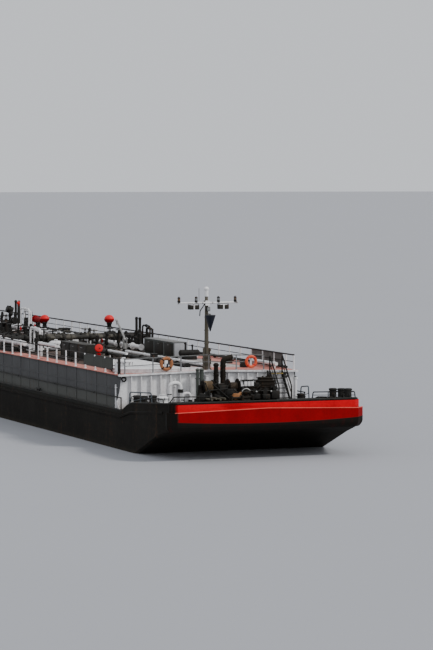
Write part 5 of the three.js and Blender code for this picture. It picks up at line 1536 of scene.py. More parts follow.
@dataclass
class Mast:
    """The folding mast: tabernacle, pole, cross-arm with lanterns and floodlights, horn and day cone."""

    x: float = 28.72
    pin: float = 6.2
    top: float = 9.25
    arm: float = 8.9
    arm_x: float = 28.90

    def build(self) -> None:
        """Dress the mast's nodes and add its fittings."""
        dress(Coat.MAST, "mast_tabernacle", "mast_pole")
        dress(Coat.WHITE, "mast_arm", "mast_horn")
        self.tabernacle()
        self.pole()
        self.lights()
        self.cone()

    def tabernacle(self) -> None:
        """Add the foot bolts, stiffeners and pin heads."""
        work = Workpiece("mast_tabernacle_fittings", Coat.MAST)
        deck = deck_z(0)
        for dx in (-0.15, 0.1):
            for y in (-0.21, 0.21):
                work.post((self.x + dx, y), deck + 0.03, deck + 0.08, 0.025, sides=6)
        for y in (-0.19, 0.225):
            work.rod((self.x, y - 0.02, self.pin), (self.x, y + 0.03, self.pin), 0.07, sides=12)
        for z in (5.35, 5.75):
            work.block((self.x - 0.13, -0.21, z), (self.x + 0.13, 0.21, z + 0.04), 0.01)
        work.finish()

    def pole(self) -> None:
        """Add the pole's bands, cable, lamp housing, whip aerial and the dome at its head."""
        work = Workpiece("mast_pole_fittings", Coat.MAST)
        for z in (6.55, 7.3, 8.05):
            radius = 0.135 - (z - 6.0) * 0.012
            work.post((self.x, 0), z, z + 0.06, radius + 0.012, sides=14)
        work.coat(Coat.GEAR)
        work.tube([(self.x - 0.13, 0.05, 6.5), (self.x - 0.12, 0.05, 8.6)], 0.018)
        work.post((self.x, -0.45), 9.0, 9.72, 0.012, sides=6)
        work.block((self.x - 0.03, -0.47, 8.86), (self.x + 0.03, -0.1, 8.92), 0.008)
        work.tube([(self.x + 0.02, -0.12, 8.8), (self.x + 0.3, -0.5, 8.45), (self.x + 0.3, -0.52, 8.15)],
                  0.03, 0.08)
        work.block((self.x + 0.1, -0.1, 8.42), (self.x + 0.34, 0.12, 8.66), 0.03)
        work.coat(Coat.CLEAR)
        work.block((self.x + 0.33, -0.08, 8.44), (self.x + 0.36, 0.1, 8.64), 0.01)
        work.coat(Coat.WHITE)
        work.turned([(0, 0.34), (0.11, 0.34), (0.15, 0.42), (0.15, 0.48), (0.08, 0.56), (0, 0.58)],
                    (self.x, 0, self.top - 0.02), sides=16)
        work.finish("mast")

    def lights(self) -> None:
        """Build the four lanterns, the floodlights and the arm's straps."""
        work = Workpiece("mast_lights", Coat.GEAR)
        for y in (-1.73, -0.69, 0.66, 1.68):
            base = (self.arm_x, y, self.arm)
            work.coat(Coat.GEAR)
            work.turned([(0, 0.02), (0.085, 0.02), (0.09, 0.12), (0.074, 0.14), (0, 0.14)], base, sides=16)
            work.turned([(0, 0.26), (0.074, 0.26), (0.09, 0.29), (0.06, 0.35), (0.02, 0.37), (0, 0.37)], base,
                        sides=16)
            for dx, dy in spokes(4, 0.08, 0.5):
                work.post((base[0] + dx, y + dy), self.arm + 0.12, self.arm + 0.28, 0.009, sides=6)
            work.coat(Coat.AMBER if abs(y) > 1 else Coat.CLEAR)
            work.turned([(0.072, 0.14), (0.08, 0.17), (0.08, 0.23), (0.072, 0.26)], base, sides=16,
                        closed=True)
        for y in (-0.86, 0.93):
            for dy in (-0.17, 0.17):
                self.floodlight(work, y + dy)
        work.coat(Coat.STEEL)
        for y in (-0.3, 0.3, -1.78, 1.78):
            work.rod((self.arm_x, y - 0.03, self.arm), (self.arm_x, y + 0.03, self.arm), 0.058, sides=10)
        work.finish("mast")

    def floodlight(self, work: Workpiece, y: float) -> None:
        """Hang one dark floodlight in its yoke under the arm, its glass looking forward."""
        work.coat(Coat.GEAR)
        low, high = y - 0.14, y + 0.14
        work.block((self.x + 0.06, low, self.arm - 0.37), (self.x + 0.35, high, self.arm - 0.11), 0.03)
        work.tube([(self.x + 0.2, low - 0.02, self.arm - 0.24), (self.x + 0.2, low - 0.02, self.arm - 0.05),
                   (self.x + 0.2, high + 0.02, self.arm - 0.05),
                   (self.x + 0.2, high + 0.02, self.arm - 0.24)], 0.016, 0.05, 6)
        work.coat(Coat.DARK)
        work.block((self.x + 0.345, low + 0.03, self.arm - 0.34),
                   (self.x + 0.36, high - 0.03, self.arm - 0.14), 0.01)

    def cone(self) -> None:
        """Replace the day cone by a smooth one with hems and a seam."""
        work = Workpiece("day_cone_canvas", Coat.CONE)
        centre = (self.x + 0.6, 0, 8.2394)
        work.turned([(0, -0.96), (0.03, -0.93), (0.3, -0.06), (0.312, -0.02), (0.27, -0.012), (0.06, 0),
                     (0, 0)], centre, sides=36)
        work.ring((centre[0], 0, centre[2] - 0.03), UP, 0.3, 0.014, 36, 6)
        work.rod((centre[0] + 0.04, 0, centre[2] - 0.9), (centre[0] + 0.3, 0, centre[2] - 0.05), 0.008,
                 sides=6)
        work.finish("mast", ["day_cone"])


@dataclass
class Davit:
    """The hose davit: socket, slewing post and boom."""

    x: float = 11.4
    y: float = 1.1
    pin_z: float = 5.8816
    tip: tuple[float, float] = (-1.6, 1.1)

    def build(self) -> None:
        """Dress the davit and add its bolts, clamp lever, hoops and sheave."""
        dress(Coat.DARK, "davit_socket")
        dress(Coat.STEEL, "davit_post", "davit_boom")
        deck = deck_z(self.y)
        work = Workpiece("davit_socket_bolts", Coat.DARK)
        for dx, dy in spokes(8, 0.215):
            work.post((self.x + dx, self.y + dy), deck + 0.03, deck + 0.08, 0.02, sides=6)
        work.finish()
        work = Workpiece("davit_post_fittings", Coat.STEEL)
        work.post((self.x, self.y), self.pin_z - 0.42, self.pin_z - 0.36, 0.135, sides=14)
        work.rod((self.x, self.y + 0.1, self.pin_z - 0.39), (self.x, self.y + 0.34, self.pin_z - 0.39), 0.018,
                 sides=6)
        for side in (-1, 1):
            work.rod((self.x, self.y + side * 0.125, self.pin_z), (self.x, self.y + side * 0.15, self.pin_z),
                     0.05, sides=10)
        work.finish("davit")
        work = Workpiece("davit_boom_fittings", Coat.STEEL)
        root = Vector((self.x, self.y, self.pin_z))
        end = Vector((self.x + self.tip[0], self.y, self.pin_z + self.tip[1]))
        for share in (0.2, 0.6, 0.92):
            spot = root.lerp(end, share)
            work.rod(spot, spot + (end - root).normalized() * 0.05, 0.072, sides=12)
        work.ring(end - Vector((0, 0, 0.2)), ACROSS, 0.07, 0.018, 16, 6)
        work.rod(end - Vector((0, 0.06, 0)), end + Vector((0, 0.06, 0)), 0.075, sides=14)
        work.finish("boom")


@dataclass
class MooringGear:
    """Bollards, hoop rails and the escape hatch on the open decks."""

    rows: tuple[tuple[str, float, tuple[tuple[float, float], ...]], ...] = (
        ("bow_starboard", -4.95, ((30.87, 0.6), (32.0, 0.38), (33.5, 0.42))),
        ("bow_port", 4.95, ((35.4, 0.55), (36.6, 0.55), (37.5, 0.55))),
        ("break_port", 4.95, ((30.75, 0.47),)),
        ("stern_starboard", -4.75, ((-35.6, 0.6), (-34.4, 0.6))),
        ("stern_port", 4.75, ((-35.6, 0.6), (-34.4, 0.6))))

    def build(self) -> None:
        """Dress the gear and add pins, collars, gussets and clamps."""
        dress(Coat.GEAR, "bollards_bow_starboard", "bollards_bow_port", "bollard_break_port",
              "bollards_stern_starboard", "bollards_stern_port")
        dress(Coat.SLATE, "hoop_rail_starboard", "hoop_rail_break", "hoop_rail_bow")
        dress(Coat.WHITE, "foredeck_hatch")
        for name, y, posts in self.rows:
            self.bollards(name, posts, y)
        self.hoop_feet()
        self.hatch()

    def bollards(self, name: str, posts: Sequence[tuple[float, float]], y: float) -> None:
        """Fit one row of mooring posts.

        Args:
            name: The row's name.
            posts: Each post's station and height.
            y: Their distance from the centreline.
        """
        work = Workpiece(f"bollard_fittings_{name}", Coat.GEAR)
        for x, height in posts:
            deck = sheer_z(x)
            top = deck + height
            work.turned([(0.201, 0.0), (0.25, 0.0), (0.25, 0.075), (0.22, 0.1), (0.201, 0.12)], (x, y, deck),
                        sides=24, closed=True)
            work.turned([(0.2, -0.1), (0.226, -0.09), (0.236, -0.04), (0.22, 0.012), (0.16, 0.03), (0, 0.035),
                         (0, -0.1)], (x, y, top), sides=24)
            work.rod((x, y - 0.3, top - 0.17), (x, y + 0.3, top - 0.17), 0.03, sides=10)
            for side in (-1, 1):
                work.plate([(x + side * 0.19, y - 0.012, deck + 0.04),
                            (x + side * 0.36, y - 0.012, deck + 0.04),
                            (x + side * 0.19, y - 0.012, deck + height * 0.6)], (0, 0.024, 0))
        work.finish()

    def hoop_feet(self) -> None:
        """Put a plate and a collar at each leg of the hoop rails, and a thin bar halfway up them."""
        work = Workpiece("hoop_rail_feet", Coat.SLATE)
        for y, legs, drop in ((-5.35, (30.75, 32.6, 34.45), 0.34), (5.32, (29.8, 31.1), 0.42),
                              (5.35, (31.5, 33.8, 37.6), 0.2)):
            for x in legs:
                deck = sheer_z(x)
                work.post((x, y), deck - 0.01, deck + 0.03, 0.09, sides=10)
                work.post((x, y), deck + 0.02, deck + 0.1, 0.055, 0.042, 8)
            ends = [(x, y, sheer_z(x) + drop) for x in (legs[0] + 0.03, legs[-1] - 0.03)]
            work.rod(ends[0], ends[1], 0.02, sides=6)
        work.coat(Coat.GEAR)
        rail = [(31.4, -5.5, 3.62), (31.5, -5.5, 3.9), (36.4, -5.4, 4.1), (36.5, -5.4, 3.8)]
        work.tube(rail, 0.028, 0.1, 6)
        for x in (33.2, 34.9):
            work.post((x, -5.45), sheer_z(x), 3.9 + (x - 31.5) * 0.041, 0.024, sides=6)
        x, deck = 34.5, sheer_z(34.5)
        work.tube([(x, -4.35, deck), (x, -4.1, deck + 0.32), (x, -2.0, deck + 0.3), (x, -1.9, deck)], 0.032,
                  0.08, 6)
        for y in (-3.5, -2.7):
            work.post((x, y), deck, deck + 0.31, 0.024, sides=6)
        work.finish()

    def hatch(self) -> None:
        """Add the escape hatch's dogs, hinge and coaming weld."""
        x, y = 33.0, -4.2
        deck = sheer_z(x)
        work = Workpiece("foredeck_hatch_fittings", Coat.WHITE)
        work.turned([(0.281, 0.0), (0.32, 0.0), (0.3, 0.03), (0.281, 0.05)], (x, y, deck), sides=24,
                    closed=True)
        work.coat(Coat.GEAR)
        for dx, dy in spokes(6, 0.35):
            work.post((x + dx, y + dy), deck + 0.12, deck + 0.31, 0.018, sides=6)
        work.block((x - 0.42, y - 0.1, deck + 0.14), (x - 0.33, y + 0.1, deck + 0.28), 0.015)
        work.finish()


@dataclass
class Winch:
    """The anchor winch: frame, two rope drums on one line, engine, panel, timber block and fairlead."""

    x: float = 32.6
    z: float = 4.4
    drums: tuple[tuple[str, float, float, float, float], ...] = (
        ("port", 0.09, 0.31, 0.4, 0.17), ("starboard", -1.41, 0.31, 0.36, 0.28))
    rope: float = 0.035

    def build(self) -> None:
        """Dress the winch and add its moving and fixed fittings."""
        dress(Coat.GRIME, "winch_frame", "winch_drum_port", "winch_drum_starboard", "winch_engine")
        for name, middle, half, radius, barrel in self.drums:
            self.drum(name, middle, half, radius, barrel)
        self.frame_fittings()
        self.engine()
        self.panel()
        self.fairlead()
        self.jumble()
        self.timber()

    def drum(self, name: str, middle: float, half: float, radius: float, barrel: float) -> None:
        """Wind the rope and fit the rims and hub bolts, all turning with the drum.

        Args:
            name: The drum's side.
            middle: Its middle across the barge.
            half: Half its width.
            radius: Its flanges' radius.
            barrel: The radius that the rope is wound on.
        """
        work = Workpiece(f"drum_rope_{name}", Coat.ROPE if name == "starboard" else Coat.OLD_ROPE)
        turns = int((half * 2 - 0.12) / (self.rope * 2))
        for i in range(turns):
            y = middle - half + 0.07 + self.rope * (2 * i + 1)
            work.ring((self.x, y, self.z), ACROSS, barrel + self.rope * 0.9, self.rope, 28, 6)
        work.finish(f"drum_{name}")
        work = Workpiece(f"drum_flanges_{name}", Coat.GRIME)
        for side in (-1, 1):
            y = middle + side * (half - 0.025)
            work.ring((self.x, y, self.z), ACROSS, radius, 0.03, 28, 6)
            for pair in zip(spokes(6, 0.12), spokes(6, radius * 0.82)):
                for dx, dz in pair:
                    x, z = self.x + dx, self.z + dz
                    work.rod((x, y, z), (x, y + side * 0.045, z), 0.024, sides=6)
        work.finish(f"drum_{name}")

    def frame_fittings(self) -> None:
        """Add bearing caps, brake levers, the gear case's cover and clutch, and bedplate bolts."""
        work = Workpiece("winch_frame_fittings", Coat.GRIME)
        deck = sheer_z(self.x - 0.6)
        for _, middle, half, _, _ in self.drums:
            for side in (-1, 1):
                low, high = sorted((middle + side * (half + 0.08), middle + side * (half + 0.18)))
                work.rod((self.x, low - 0.02, self.z), (self.x, high + 0.02, self.z), 0.13, sides=16)
                work.block((self.x - 0.19, low - 0.01, self.z - 0.04),
                           (self.x + 0.19, high + 0.01, self.z + 0.03), 0.012)
                for dx in (-0.16, 0.16):
                    spot = (self.x + dx, (low + high) / 2)
                    work.rod((*spot, self.z), (*spot, self.z + 0.12), 0.022, sides=6)
            y = middle + half + 0.13
            work.coat(Coat.GEAR)
            work.tube([(self.x + 0.28, y, self.z - 0.3), (self.x + 0.46, y, self.z + 0.1),
                       (self.x + 0.5, y, self.z + 0.3)], 0.022, 0.1, 6)
            work.ball((self.x + 0.5, y, self.z + 0.32), 0.045)
            work.coat(Coat.GRIME)
        work.block((self.x - 0.34, -0.86, self.z + 0.08), (self.x + 0.34, -0.44, self.z + 0.16), 0.03)
        work.rod((self.x + 0.29, -0.65, self.z - 0.25), (self.x + 0.35, -0.65, self.z - 0.25), 0.2, sides=20)
        work.coat(Coat.GEAR)
        handwheel(work, (self.x + 0.46, -0.65, self.z - 0.25), ALONG, 0.17)
        for dx in (-0.52, 0.52):
            for y in (-1.85, -1.2, -0.55, 0.1, 0.55):
                work.post((self.x + dx, y), deck + 0.14, deck + 0.21, 0.035, sides=6)
        work.finish()

    def engine(self) -> None:
        """Add the engine's cover, grille, filters, belts, pipes and exhaust."""
        work = Workpiece("winch_engine_fittings", Coat.GRIME)
        work.block((32.24, 1.5, 4.66), (33.16, 2.48, 4.71), 0.02)
        work.block((32.38, 1.6, 4.82), (33.04, 2.38, 4.87), 0.02)
        for i in range(5):
            z = 3.98 + i * 0.12
            work.block((33.1, 1.62, z), (33.14, 2.36, z + 0.05), 0.01)
        for y in (1.78, 2.0, 2.2):
            work.post((32.86, y), 4.85, 4.95, 0.045, sides=10)
        work.rod((33.1, 1.3, 4.0), (33.16, 1.3, 4.0), 0.16, sides=18)
        work.tube([(32.95, 1.6, 4.5), (33.2, 1.5, 4.45), (33.2, 1.2, 4.2), (33.1, 1.1, 4.0)], 0.03, 0.1)
        work.coat(Coat.GEAR)
        work.rod((33.05, 2.6, 4.0), (32.4, 2.6, 4.0), 0.11, sides=14)
        work.rod((33.12, 1.85, 4.2), (33.22, 1.85, 4.2), 0.13, sides=16)
        work.rod((33.12, 2.2, 4.35), (33.2, 2.2, 4.35), 0.08, sides=14)
        work.tube([(32.6, 2.2, 4.98), (32.6, 2.2, 5.1), (32.52, 2.2, 5.2)], 0.06, 0.06, 10)
        work.tube([(32.2, 1.5, 4.3), (32.2, 1.2, 4.3), (32.2, 1.2, 3.9)], 0.06, 0.12)
        work.tube([(33.0, 1.05, 4.05), (33.25, 1.0, 4.0), (33.25, 0.8, 3.85)], 0.045, 0.1)
        work.block((32.98, 1.02, 3.85), (33.1, 1.38, 4.0), 0.02)
        work.finish()

    def panel(self) -> None:
        """Cover the control panel with its light face, dark rim and three small levers."""
        work = Workpiece("winch_panel_fittings", Coat.WHITE)
        work.block((33.048, 0.4, 4.42), (33.07, 1.17, 4.72), 0.006)
        work.coat(Coat.GEAR)
        work.tube([(33.06, 0.37, 4.37), (33.06, 1.2, 4.37), (33.06, 1.2, 4.77), (33.06, 0.37, 4.77),
                   (33.06, 0.37, 4.37)], 0.026, 0, 6)
        work.block((33.05, 1.24, 4.35), (33.1, 1.5, 4.6), 0.02)
        for y in (0.57, 0.79, 0.98):
            work.block((33.06, y, 4.42), (33.08, y + 0.03, 4.72), 0.004)
        work.block((33.06, 0.42, 4.69), (33.09, 1.15, 4.75), 0.01)
        for y in (0.62, 0.82, 1.08):
            work.rod((33.06, y, 4.36), (33.12, y, 4.42), 0.018, sides=6)
        work.block((33.058, 0.9, 4.5), (33.068, 1.15, 4.56), 0.004)
        work.finish()

    def fairlead(self) -> None:
        """Stand the roller fairlead on its plate ahead of the winch."""
        work = Workpiece("winch_fairlead", Coat.GRIME)
        deck = sheer_z(34.2)
        for y in (-0.62, 0.0, 0.62):
            work.block((34.0, y - 0.04, deck - 0.1), (34.4, y + 0.04, deck + 0.3), 0.02)
        for y0 in (-0.56, 0.06):
            work.turned([(0.1, 0.0), (0.065, 0.1), (0.06, 0.25), (0.065, 0.4), (0.1, 0.5), (0, 0.5), (0, 0)],
                        (34.2, y0, deck + 0.17), ACROSS, 18)
        work.block((33.9, -0.7, deck - 0.1), (34.5, 0.7, deck + 0.02), 0.01)
        work.finish()

    def jumble(self) -> None:
        """Add the levers, pipes, guards and bars that crowd the bedplate's fore side."""
        work = Workpiece("winch_levers_and_guards", Coat.GEAR)
        for start, end, radius in (
                ((33.35, -1.39, 4.6), (33.35, -0.44, 3.8), 0.04),
                ((33.25, -1.15, 4.8), (33.25, -0.7, 3.95), 0.03),
                ((33.3, -1.8, 4.7), (33.3, -1.5, 3.85), 0.03),
                ((33.3, -0.35, 4.65), (33.3, -0.75, 3.9), 0.028),
                ((33.4, -0.2, 4.3), (33.4, 0.35, 3.9), 0.035),
                ((33.4, 1.5, 4.3), (33.4, 1.0, 3.85), 0.04),
                ((33.35, -1.7, 4.25), (33.35, -0.5, 4.32), 0.035),
                ((33.3, 0.3, 4.2), (33.3, 2.5, 4.12), 0.045)):
            work.rod(start, end, radius, sides=8)
        for low, high in (
                ((33.12, 0.3, 3.7), (33.3, 0.75, 4.1)), ((33.15, 0.85, 3.7), (33.4, 1.45, 4.0)),
                ((33.2, 1.55, 3.7), (33.5, 2.0, 3.98)), ((33.2, 2.1, 3.7), (33.45, 2.6, 4.15)),
                ((33.1, -1.25, 3.7), (33.3, -0.75, 4.05)), ((33.1, -2.1, 3.7), (33.35, -1.8, 4.1)),
                ((33.06, -0.5, 3.7), (33.2, 0.1, 4.3)), ((33.06, -1.75, 3.7), (33.25, -1.45, 4.2)),
                ((33.06, -0.95, 4.0), (33.2, -0.4, 4.5))):
            work.block(low, high, 0.05)
        for y, z in ((0.5, 4.25), (1.15, 4.15), (1.75, 4.1), (2.35, 4.28), (-1.0, 4.18)):
            work.rod((33.2, y, z), (33.34, y, z), 0.13, sides=16)
        work.coat(Coat.STEEL)
        work.tube([(33.45, 0.28, 4.02), (33.45, 0.36, 4.26), (33.45, 0.6, 4.34), (33.45, 0.8, 4.2)], 0.03,
                  0.12)
        for y in (1.18, 2.06):
            work.ball((33.44, y, 4.12), 0.06)
        work.coat(Coat.MAST)
        for y, z in ((-1.75, 3.78), (-1.5, 3.84), (-1.25, 3.78), (-0.98, 3.82)):
            work.rod((33.1, y, z), (34.1, y + 0.05, z + 0.02), 0.06, sides=8)
        work.finish()

    def timber(self) -> None:
        """Stand the bright chafing timber and the round snatch post ahead of the drums."""
        work = Workpiece("deck_chafing_block", Coat.TIMBER)
        outline = [(-0.32, 3.9), (-0.2, 4.08), (0.08, 4.05), (0.24, 4.16), (0.22, 3.92), (0.1, 3.74),
                   (-0.2, 3.72)]
        work.plate([(33.4, y, z) for y, z in outline], (0.25, 0, 0), 0.03)
        work.coat(Coat.GEAR)
        for y in (-0.22, 0.14):
            work.rod((33.64, y, 3.86), (33.69, y, 3.86), 0.03, sides=6)
        work.coat(Coat.GRIME)
        work.turned([(0, 0), (0.27, 0), (0.27, 0.05), (0.17, 0.1), (0.16, 0.34), (0.24, 0.42), (0.24, 0.5),
                     (0, 0.52)], (33.68, 0.48, sheer_z(33.68) + 0.005), sides=24)
        work.finish()


@dataclass
class BulkheadGear:
    """What stands in front of the bulkhead: air pipes, vents, exhausts, cabinet, capped post and stairs."""

    stack_x: float = 29.6
    vent_top: float = 5.12
    vents: tuple[tuple[float, float], ...] = ((-0.88, 0.085), (-0.63, 0.115))
    stair_y: tuple[float, float] = (3.62, 4.38)
    treads: int = 6

    def build(self) -> None:
        """Dress the gear and add its flanges, mouths, straps, door and steps."""
        dress(Coat.WHITE, "gooseneck_1", "gooseneck_2", "bulkhead_cabinet", "port_pedestal")
        dress(Coat.GREEN, "vent_stacks")
        dress(Coat.GRIME, "exhaust_stacks")
        dress(Coat.GEAR, "stairs_fore")
        self.air_pipes()
        self.vent_fittings()
        self.exhaust_fittings()
        self.cabinet()
        self.stairs()

    def air_pipes(self) -> None:
        """Fit foot flanges, dark mouths and collars on both air pipes."""
        work = Workpiece("air_pipe_fittings", Coat.WHITE)
        for x, y, reach, height, radius in ((29.7, -2.6, 0.66, 1.45, 0.12), (30.05, -1.93, 0.45, 0.86, 0.09)):
            deck = sheer_z(x)
            mouth = deck + height - 0.55
            work.coat(Coat.WHITE)
            flange(work, (x, y, deck + 0.12), UP, radius, 8)
            work.coat(Coat.GEAR)
            work.turned([(radius * 0.9, 0.0), (radius * 1.28, 0.0), (radius * 1.28, 0.16),
                         (radius * 1.02, 0.2)], (x, y + reach, mouth), sides=20, closed=True)
            # Painted shade: a dark disc across each mouth stands for the shaded inside of the pipe.
            work.post((x, y + reach), mouth - 0.01, mouth + 0.02, radius * 1.15, sides=20)
            work.post((x, y), deck + height * 0.55, deck + height * 0.55 + 0.05, radius + 0.012, sides=16)
        work.finish()

    def vent_fittings(self) -> None:
        """Fit flanges, clamps, stays and rain caps on the vents."""
        work = Workpiece("vent_fittings", Coat.GREEN)
        deck = sheer_z(self.stack_x)
        for y, radius in self.vents:
            flange(work, (self.stack_x, y, deck + 0.2), UP, radius, 8)
            work.turned([(0, 0.12), (0.05, 0.12), (radius + 0.04, 0.05), (radius + 0.04, 0.02),
                         (radius + 0.004, 0.0), (radius + 0.004, -0.08), (0, -0.08)],
                        (self.stack_x, y, self.vent_top), sides=20)
            for z in (3.9, 4.6):
                work.post((self.stack_x, y), z, z + 0.05, radius + 0.012, sides=16)
            work.block((29.2, y - 0.02, 4.62), (self.stack_x, y + 0.02, 4.66), 0.006)
        work.finish()

    def exhaust_fittings(self) -> None:
        """Fit clamps, stays and a rain cap on the exhausts, and the lifted flap at the tall one's mouth."""
        work = Workpiece("exhaust_fittings", Coat.GRIME)
        work.post((self.stack_x, 0.24), 3.2, 5.3, 0.13, sides=16)
        for y, radius, bands in ((0.24, 0.13, (3.4, 4.1, 4.8)), (0.66, 0.16, (3.3, 4.0, 4.7, 5.3))):
            for z in bands:
                work.post((self.stack_x, y), z, z + 0.06, radius + 0.014, sides=16)
            work.block((29.2, y - 0.02, 4.88), (self.stack_x, y + 0.02, 4.92), 0.006)
        work.turned([(0, 0.2), (0.08, 0.2), (0.17, 0.1), (0.17, 0.06), (0.13, 0.0), (0.13, -0.06),
                     (0, -0.06)], (self.stack_x, 0.24, 5.32), sides=20)
        work.coat(Coat.STEEL)
        work.turned([(0.0, 0.0), (0.17, 0.0), (0.19, 0.02), (0.17, 0.05), (0, 0.045)],
                    (self.stack_x, 1.22, 5.83), (0.1, 1.0, 0.24), 24)
        work.finish()

    def cabinet(self) -> None:
        """Add the cabinet's door, handle, hinges and cable, and the capped post's collar and knob."""
        work = Workpiece("cabinet_fittings", Coat.WHITE)
        work.block((29.415, -0.29, 4.23), (29.44, 0.21, 4.77), 0.012)
        work.block((29.18, -0.36, 4.79), (29.48, 0.28, 4.83), 0.012)
        flange(work, (29.45, 5.15, 3.12), UP, 0.1, 6)
        work.coat(Coat.STEEL)
        work.block((29.435, 0.12, 4.46), (29.47, 0.16, 4.6), 0.008)
        for z in (4.32, 4.66):
            work.post((29.445, -0.3), z - 0.04, z + 0.04, 0.016, sides=6)
        work.coat(Coat.GEAR)
        work.tube([(29.35, 0.1, 4.22), (29.35, 0.1, 3.6), (29.3, 0.1, 3.02)], 0.022, 0.1)
        work.ball((29.45, 5.15, 4.58), 0.09, (1, 1, 0.5), 14)
        work.finish()

    def stairs(self) -> None:
        """Add grated treads with dark noses, the yellow top step and the thick sleeves on the handrails."""
        work = Workpiece("stairs_fittings", Coat.GEAR)
        bottom, top = Vector((30.75, 0, sheer_z(30.75))), Vector((29.3, 0, deck_z(4.0)))
        for i in range(1, self.treads + 1):
            spot = bottom.lerp(top, i / (self.treads + 0.6))
            work.coat(Coat.YELLOW if i == self.treads else Coat.GEAR)
            work.block((spot.x + 0.08, 3.64, spot.z - 0.035), (spot.x + 0.125, 4.36, spot.z + 0.012), 0.006)
            work.coat(Coat.STEEL)
            for step in range(5):
                x = spot.x - 0.11 + step * 0.045
                work.block((x, 3.64, spot.z), (x + 0.012, 4.36, spot.z + 0.01))
        work.coat(Coat.GEAR)
        for y in self.stair_y:
            work.tube([(30.75, y, bottom.z), (30.75, y, bottom.z + 0.95), (29.35, y, top.z + 0.88),
                       (29.35, y, top.z - 0.05)], 0.045, 0.14, 8)
            work.tube([(30.75, y, bottom.z + 0.5), (29.35, y, top.z + 0.45)], 0.024, 0, 6)
        work.finish()


@dataclass
class PumpHouse:
    """The pump house on the afterdeck: windows, vents, roof rim, lamp and its door's fittings."""

    x: tuple[float, float] = (-34.9, -32.2)
    half: float = 1.6
    top: float = 5.5

    def build(self) -> None:
        """Dress the house and its door and add their fittings."""
        dress(Coat.BULKHEAD, "pump_house")
        dress(Coat.WHITE, "pump_house_door")
        work = Workpiece("pump_house_fittings", Coat.WHITE)
        work.block((self.x[0] - 0.06, -self.half - 0.06, self.top - 0.02),
                   (self.x[1] + 0.06, self.half + 0.06, self.top + 0.05), 0.02)
        for side in (-1, 1):
            for x in (-34.2, -32.9):
                self.window(work, (x, side * self.half, 4.75), side)
        work.coat(Coat.GEAR)
        for y in (-1.0, 1.0):
            for i in range(6):
                z = 3.75 + i * 0.08
                work.block((self.x[1], y - 0.25, z), (self.x[1] + 0.03, y + 0.25, z + 0.03), 0.006)
            work.tube([(-33.2, y, self.top), (-33.2, y, self.top + 0.35), (-33.0, y, self.top + 0.4),
                       (-33.0, y, self.top + 0.25)], 0.08, 0.1)
        work.coat(Coat.CLEAR)
        work.ball((self.x[0] - 0.08, 0.0, 5.42), 0.07)
        work.finish()
        self.door()

    def window(self, work: Workpiece, centre: Point, side: int) -> None:
        """Add a round-cornered window with its frame.

        Args:
            work: The piece to add to.
            centre: The window's middle on the wall.
            side: 1 on the port wall, -1 on the starboard wall.
        """
        x, y, z = centre
        for coat, half, depth in ((Coat.GEAR, 0.3, 0.03), (Coat.CLEAR, 0.25, 0.04)):
            work.coat(coat)
            low, high = sorted((y - side * 0.01, y + side * depth))
            work.block((x - half, low, z - half), (x + half, high, z + half), 0.012)
        work.coat(Coat.WHITE)

    def door(self) -> None:
        """Add the door's stiffeners, dogs, handle and hinge pins, which swing with it."""
        work = Workpiece("pump_house_door_fittings", Coat.WHITE)
        x = self.x[0] - 0.045
        for z in (4.1, 4.9):
            work.block((x - 0.03, -0.38, z), (x + 0.004, 0.38, z + 0.06), 0.01)
        work.coat(Coat.GEAR)
        work.tube([(x, -0.3, 4.4), (x - 0.08, -0.3, 4.4), (x - 0.08, -0.3, 4.6), (x, -0.3, 4.6)], 0.016, 0.03,
                  6)
        for z in (3.8, 4.46, 5.15):
            work.post((x - 0.01, 0.4), z - 0.06, z + 0.06, 0.024, sides=8)
        for z in (3.78, 5.1):
            work.tube([(x - 0.02, -0.36, z), (x - 0.05, -0.36, z), (x - 0.05, -0.3, z + 0.1)], 0.018, 0.02, 6)
        work.finish("door")


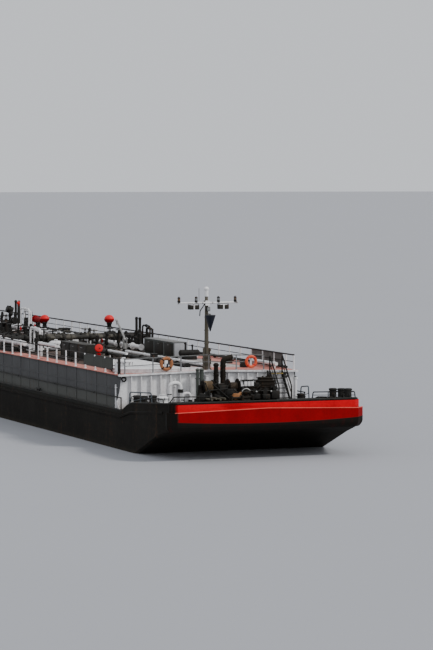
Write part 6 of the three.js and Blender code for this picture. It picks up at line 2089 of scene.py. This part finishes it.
@dataclass
class Studio:
    """Camera, soft light and the plain floor at the waterline, in the model's own metres."""

    waterline: float = 0.4155
    lens: float = 165.196
    sensor: float = 36.0
    eye: Point = (93.50292, -29.84129, 8.25762)
    yaw: float = 159.1480378
    pitch: float = -3.0085611
    roll: float = -0.1040208
    floor_half: float = 900.0

    def camera(self) -> None:
        """Stand the camera at the photo's place."""
        yaw, pitch, roll = (math.radians(a) for a in (self.yaw, self.pitch, self.roll))
        ahead = Vector((math.cos(pitch) * math.cos(yaw), math.cos(pitch) * math.sin(yaw), math.sin(pitch)))
        right = ahead.cross(Vector(UP)).normalized()
        up = right.cross(ahead)
        turned_right = right * math.cos(roll) + up * math.sin(roll)
        turned_up = up * math.cos(roll) - right * math.sin(roll)
        lens = bpy.data.cameras.new("photo_camera")
        lens.lens = self.lens
        lens.sensor_width = self.sensor
        lens.clip_end = 5000.0
        eye = bpy.data.objects.new("photo_camera", lens)
        view = Matrix((turned_right, turned_up, -ahead)).transposed().to_4x4()
        eye.matrix_world = Matrix.Translation(self.eye) @ view
        bpy.context.scene.collection.objects.link(eye)
        bpy.context.scene.camera = eye

    def floor(self) -> None:
        """Lay the floor at the waterline."""
        sheet = bmesh.new()
        bmesh.ops.create_circle(sheet, cap_ends=True, segments=96, radius=self.floor_half)
        bmesh.ops.translate(sheet, vec=(0, 0, self.waterline), verts=sheet.verts)
        shape = bpy.data.meshes.new("studio_floor")
        shape.materials.append(Coat.FLOOR.material())
        sheet.to_mesh(shape)
        sheet.free()
        floor = bpy.data.objects.new("studio_floor", shape)
        bpy.context.scene.collection.objects.link(floor)

    def lights(self) -> None:
        """Light the scene with a pale sky, a soft key sun from the port bow and a weak fill sun from the
        starboard bow.
        """
        world = bpy.data.worlds.new("studio_sky")
        world.use_nodes = True
        sky = world.node_tree.nodes["Background"]
        sky.inputs["Color"].default_value = (0.88, 0.91, 0.96, 1.0)
        sky.inputs["Strength"].default_value = 0.85
        bpy.context.scene.world = world
        for name, energy, spread, source in (
                ("key", 2.3, 10.0, (0.6, 0.72, 0.9)), ("fill", 0.4, 40.0, (0.95, -0.4, 0.5))):
            lamp = bpy.data.lights.new(name, "SUN")
            lamp.energy = energy
            lamp.angle = math.radians(spread)
            lamp.color = (1.0, 0.97, 0.93)
            sun = bpy.data.objects.new(name, lamp)
            sun.rotation_euler = Vector(source).to_track_quat("Z", "Y").to_euler()
            bpy.context.scene.collection.objects.link(sun)

    def build(self) -> None:
        """Set up camera, floor and lights."""
        self.camera()
        self.floor()
        self.lights()


def main() -> None:
    """Build the studio and every sub-assembly, and report each piece."""
    logging.basicConfig(level=logging.INFO, format="%(name)s: %(message)s")
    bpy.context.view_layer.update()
    for part in (Studio(), HullShell(), Trunk(), GuardRails(), LifeRings(), TankHatches(), DeckPiping(),
                 DeckBoxes(), Mast(), Davit(), MooringGear(), Winch(), BulkheadGear(), PumpHouse()):
        part.build()


if __name__ == "__main__":
    main()
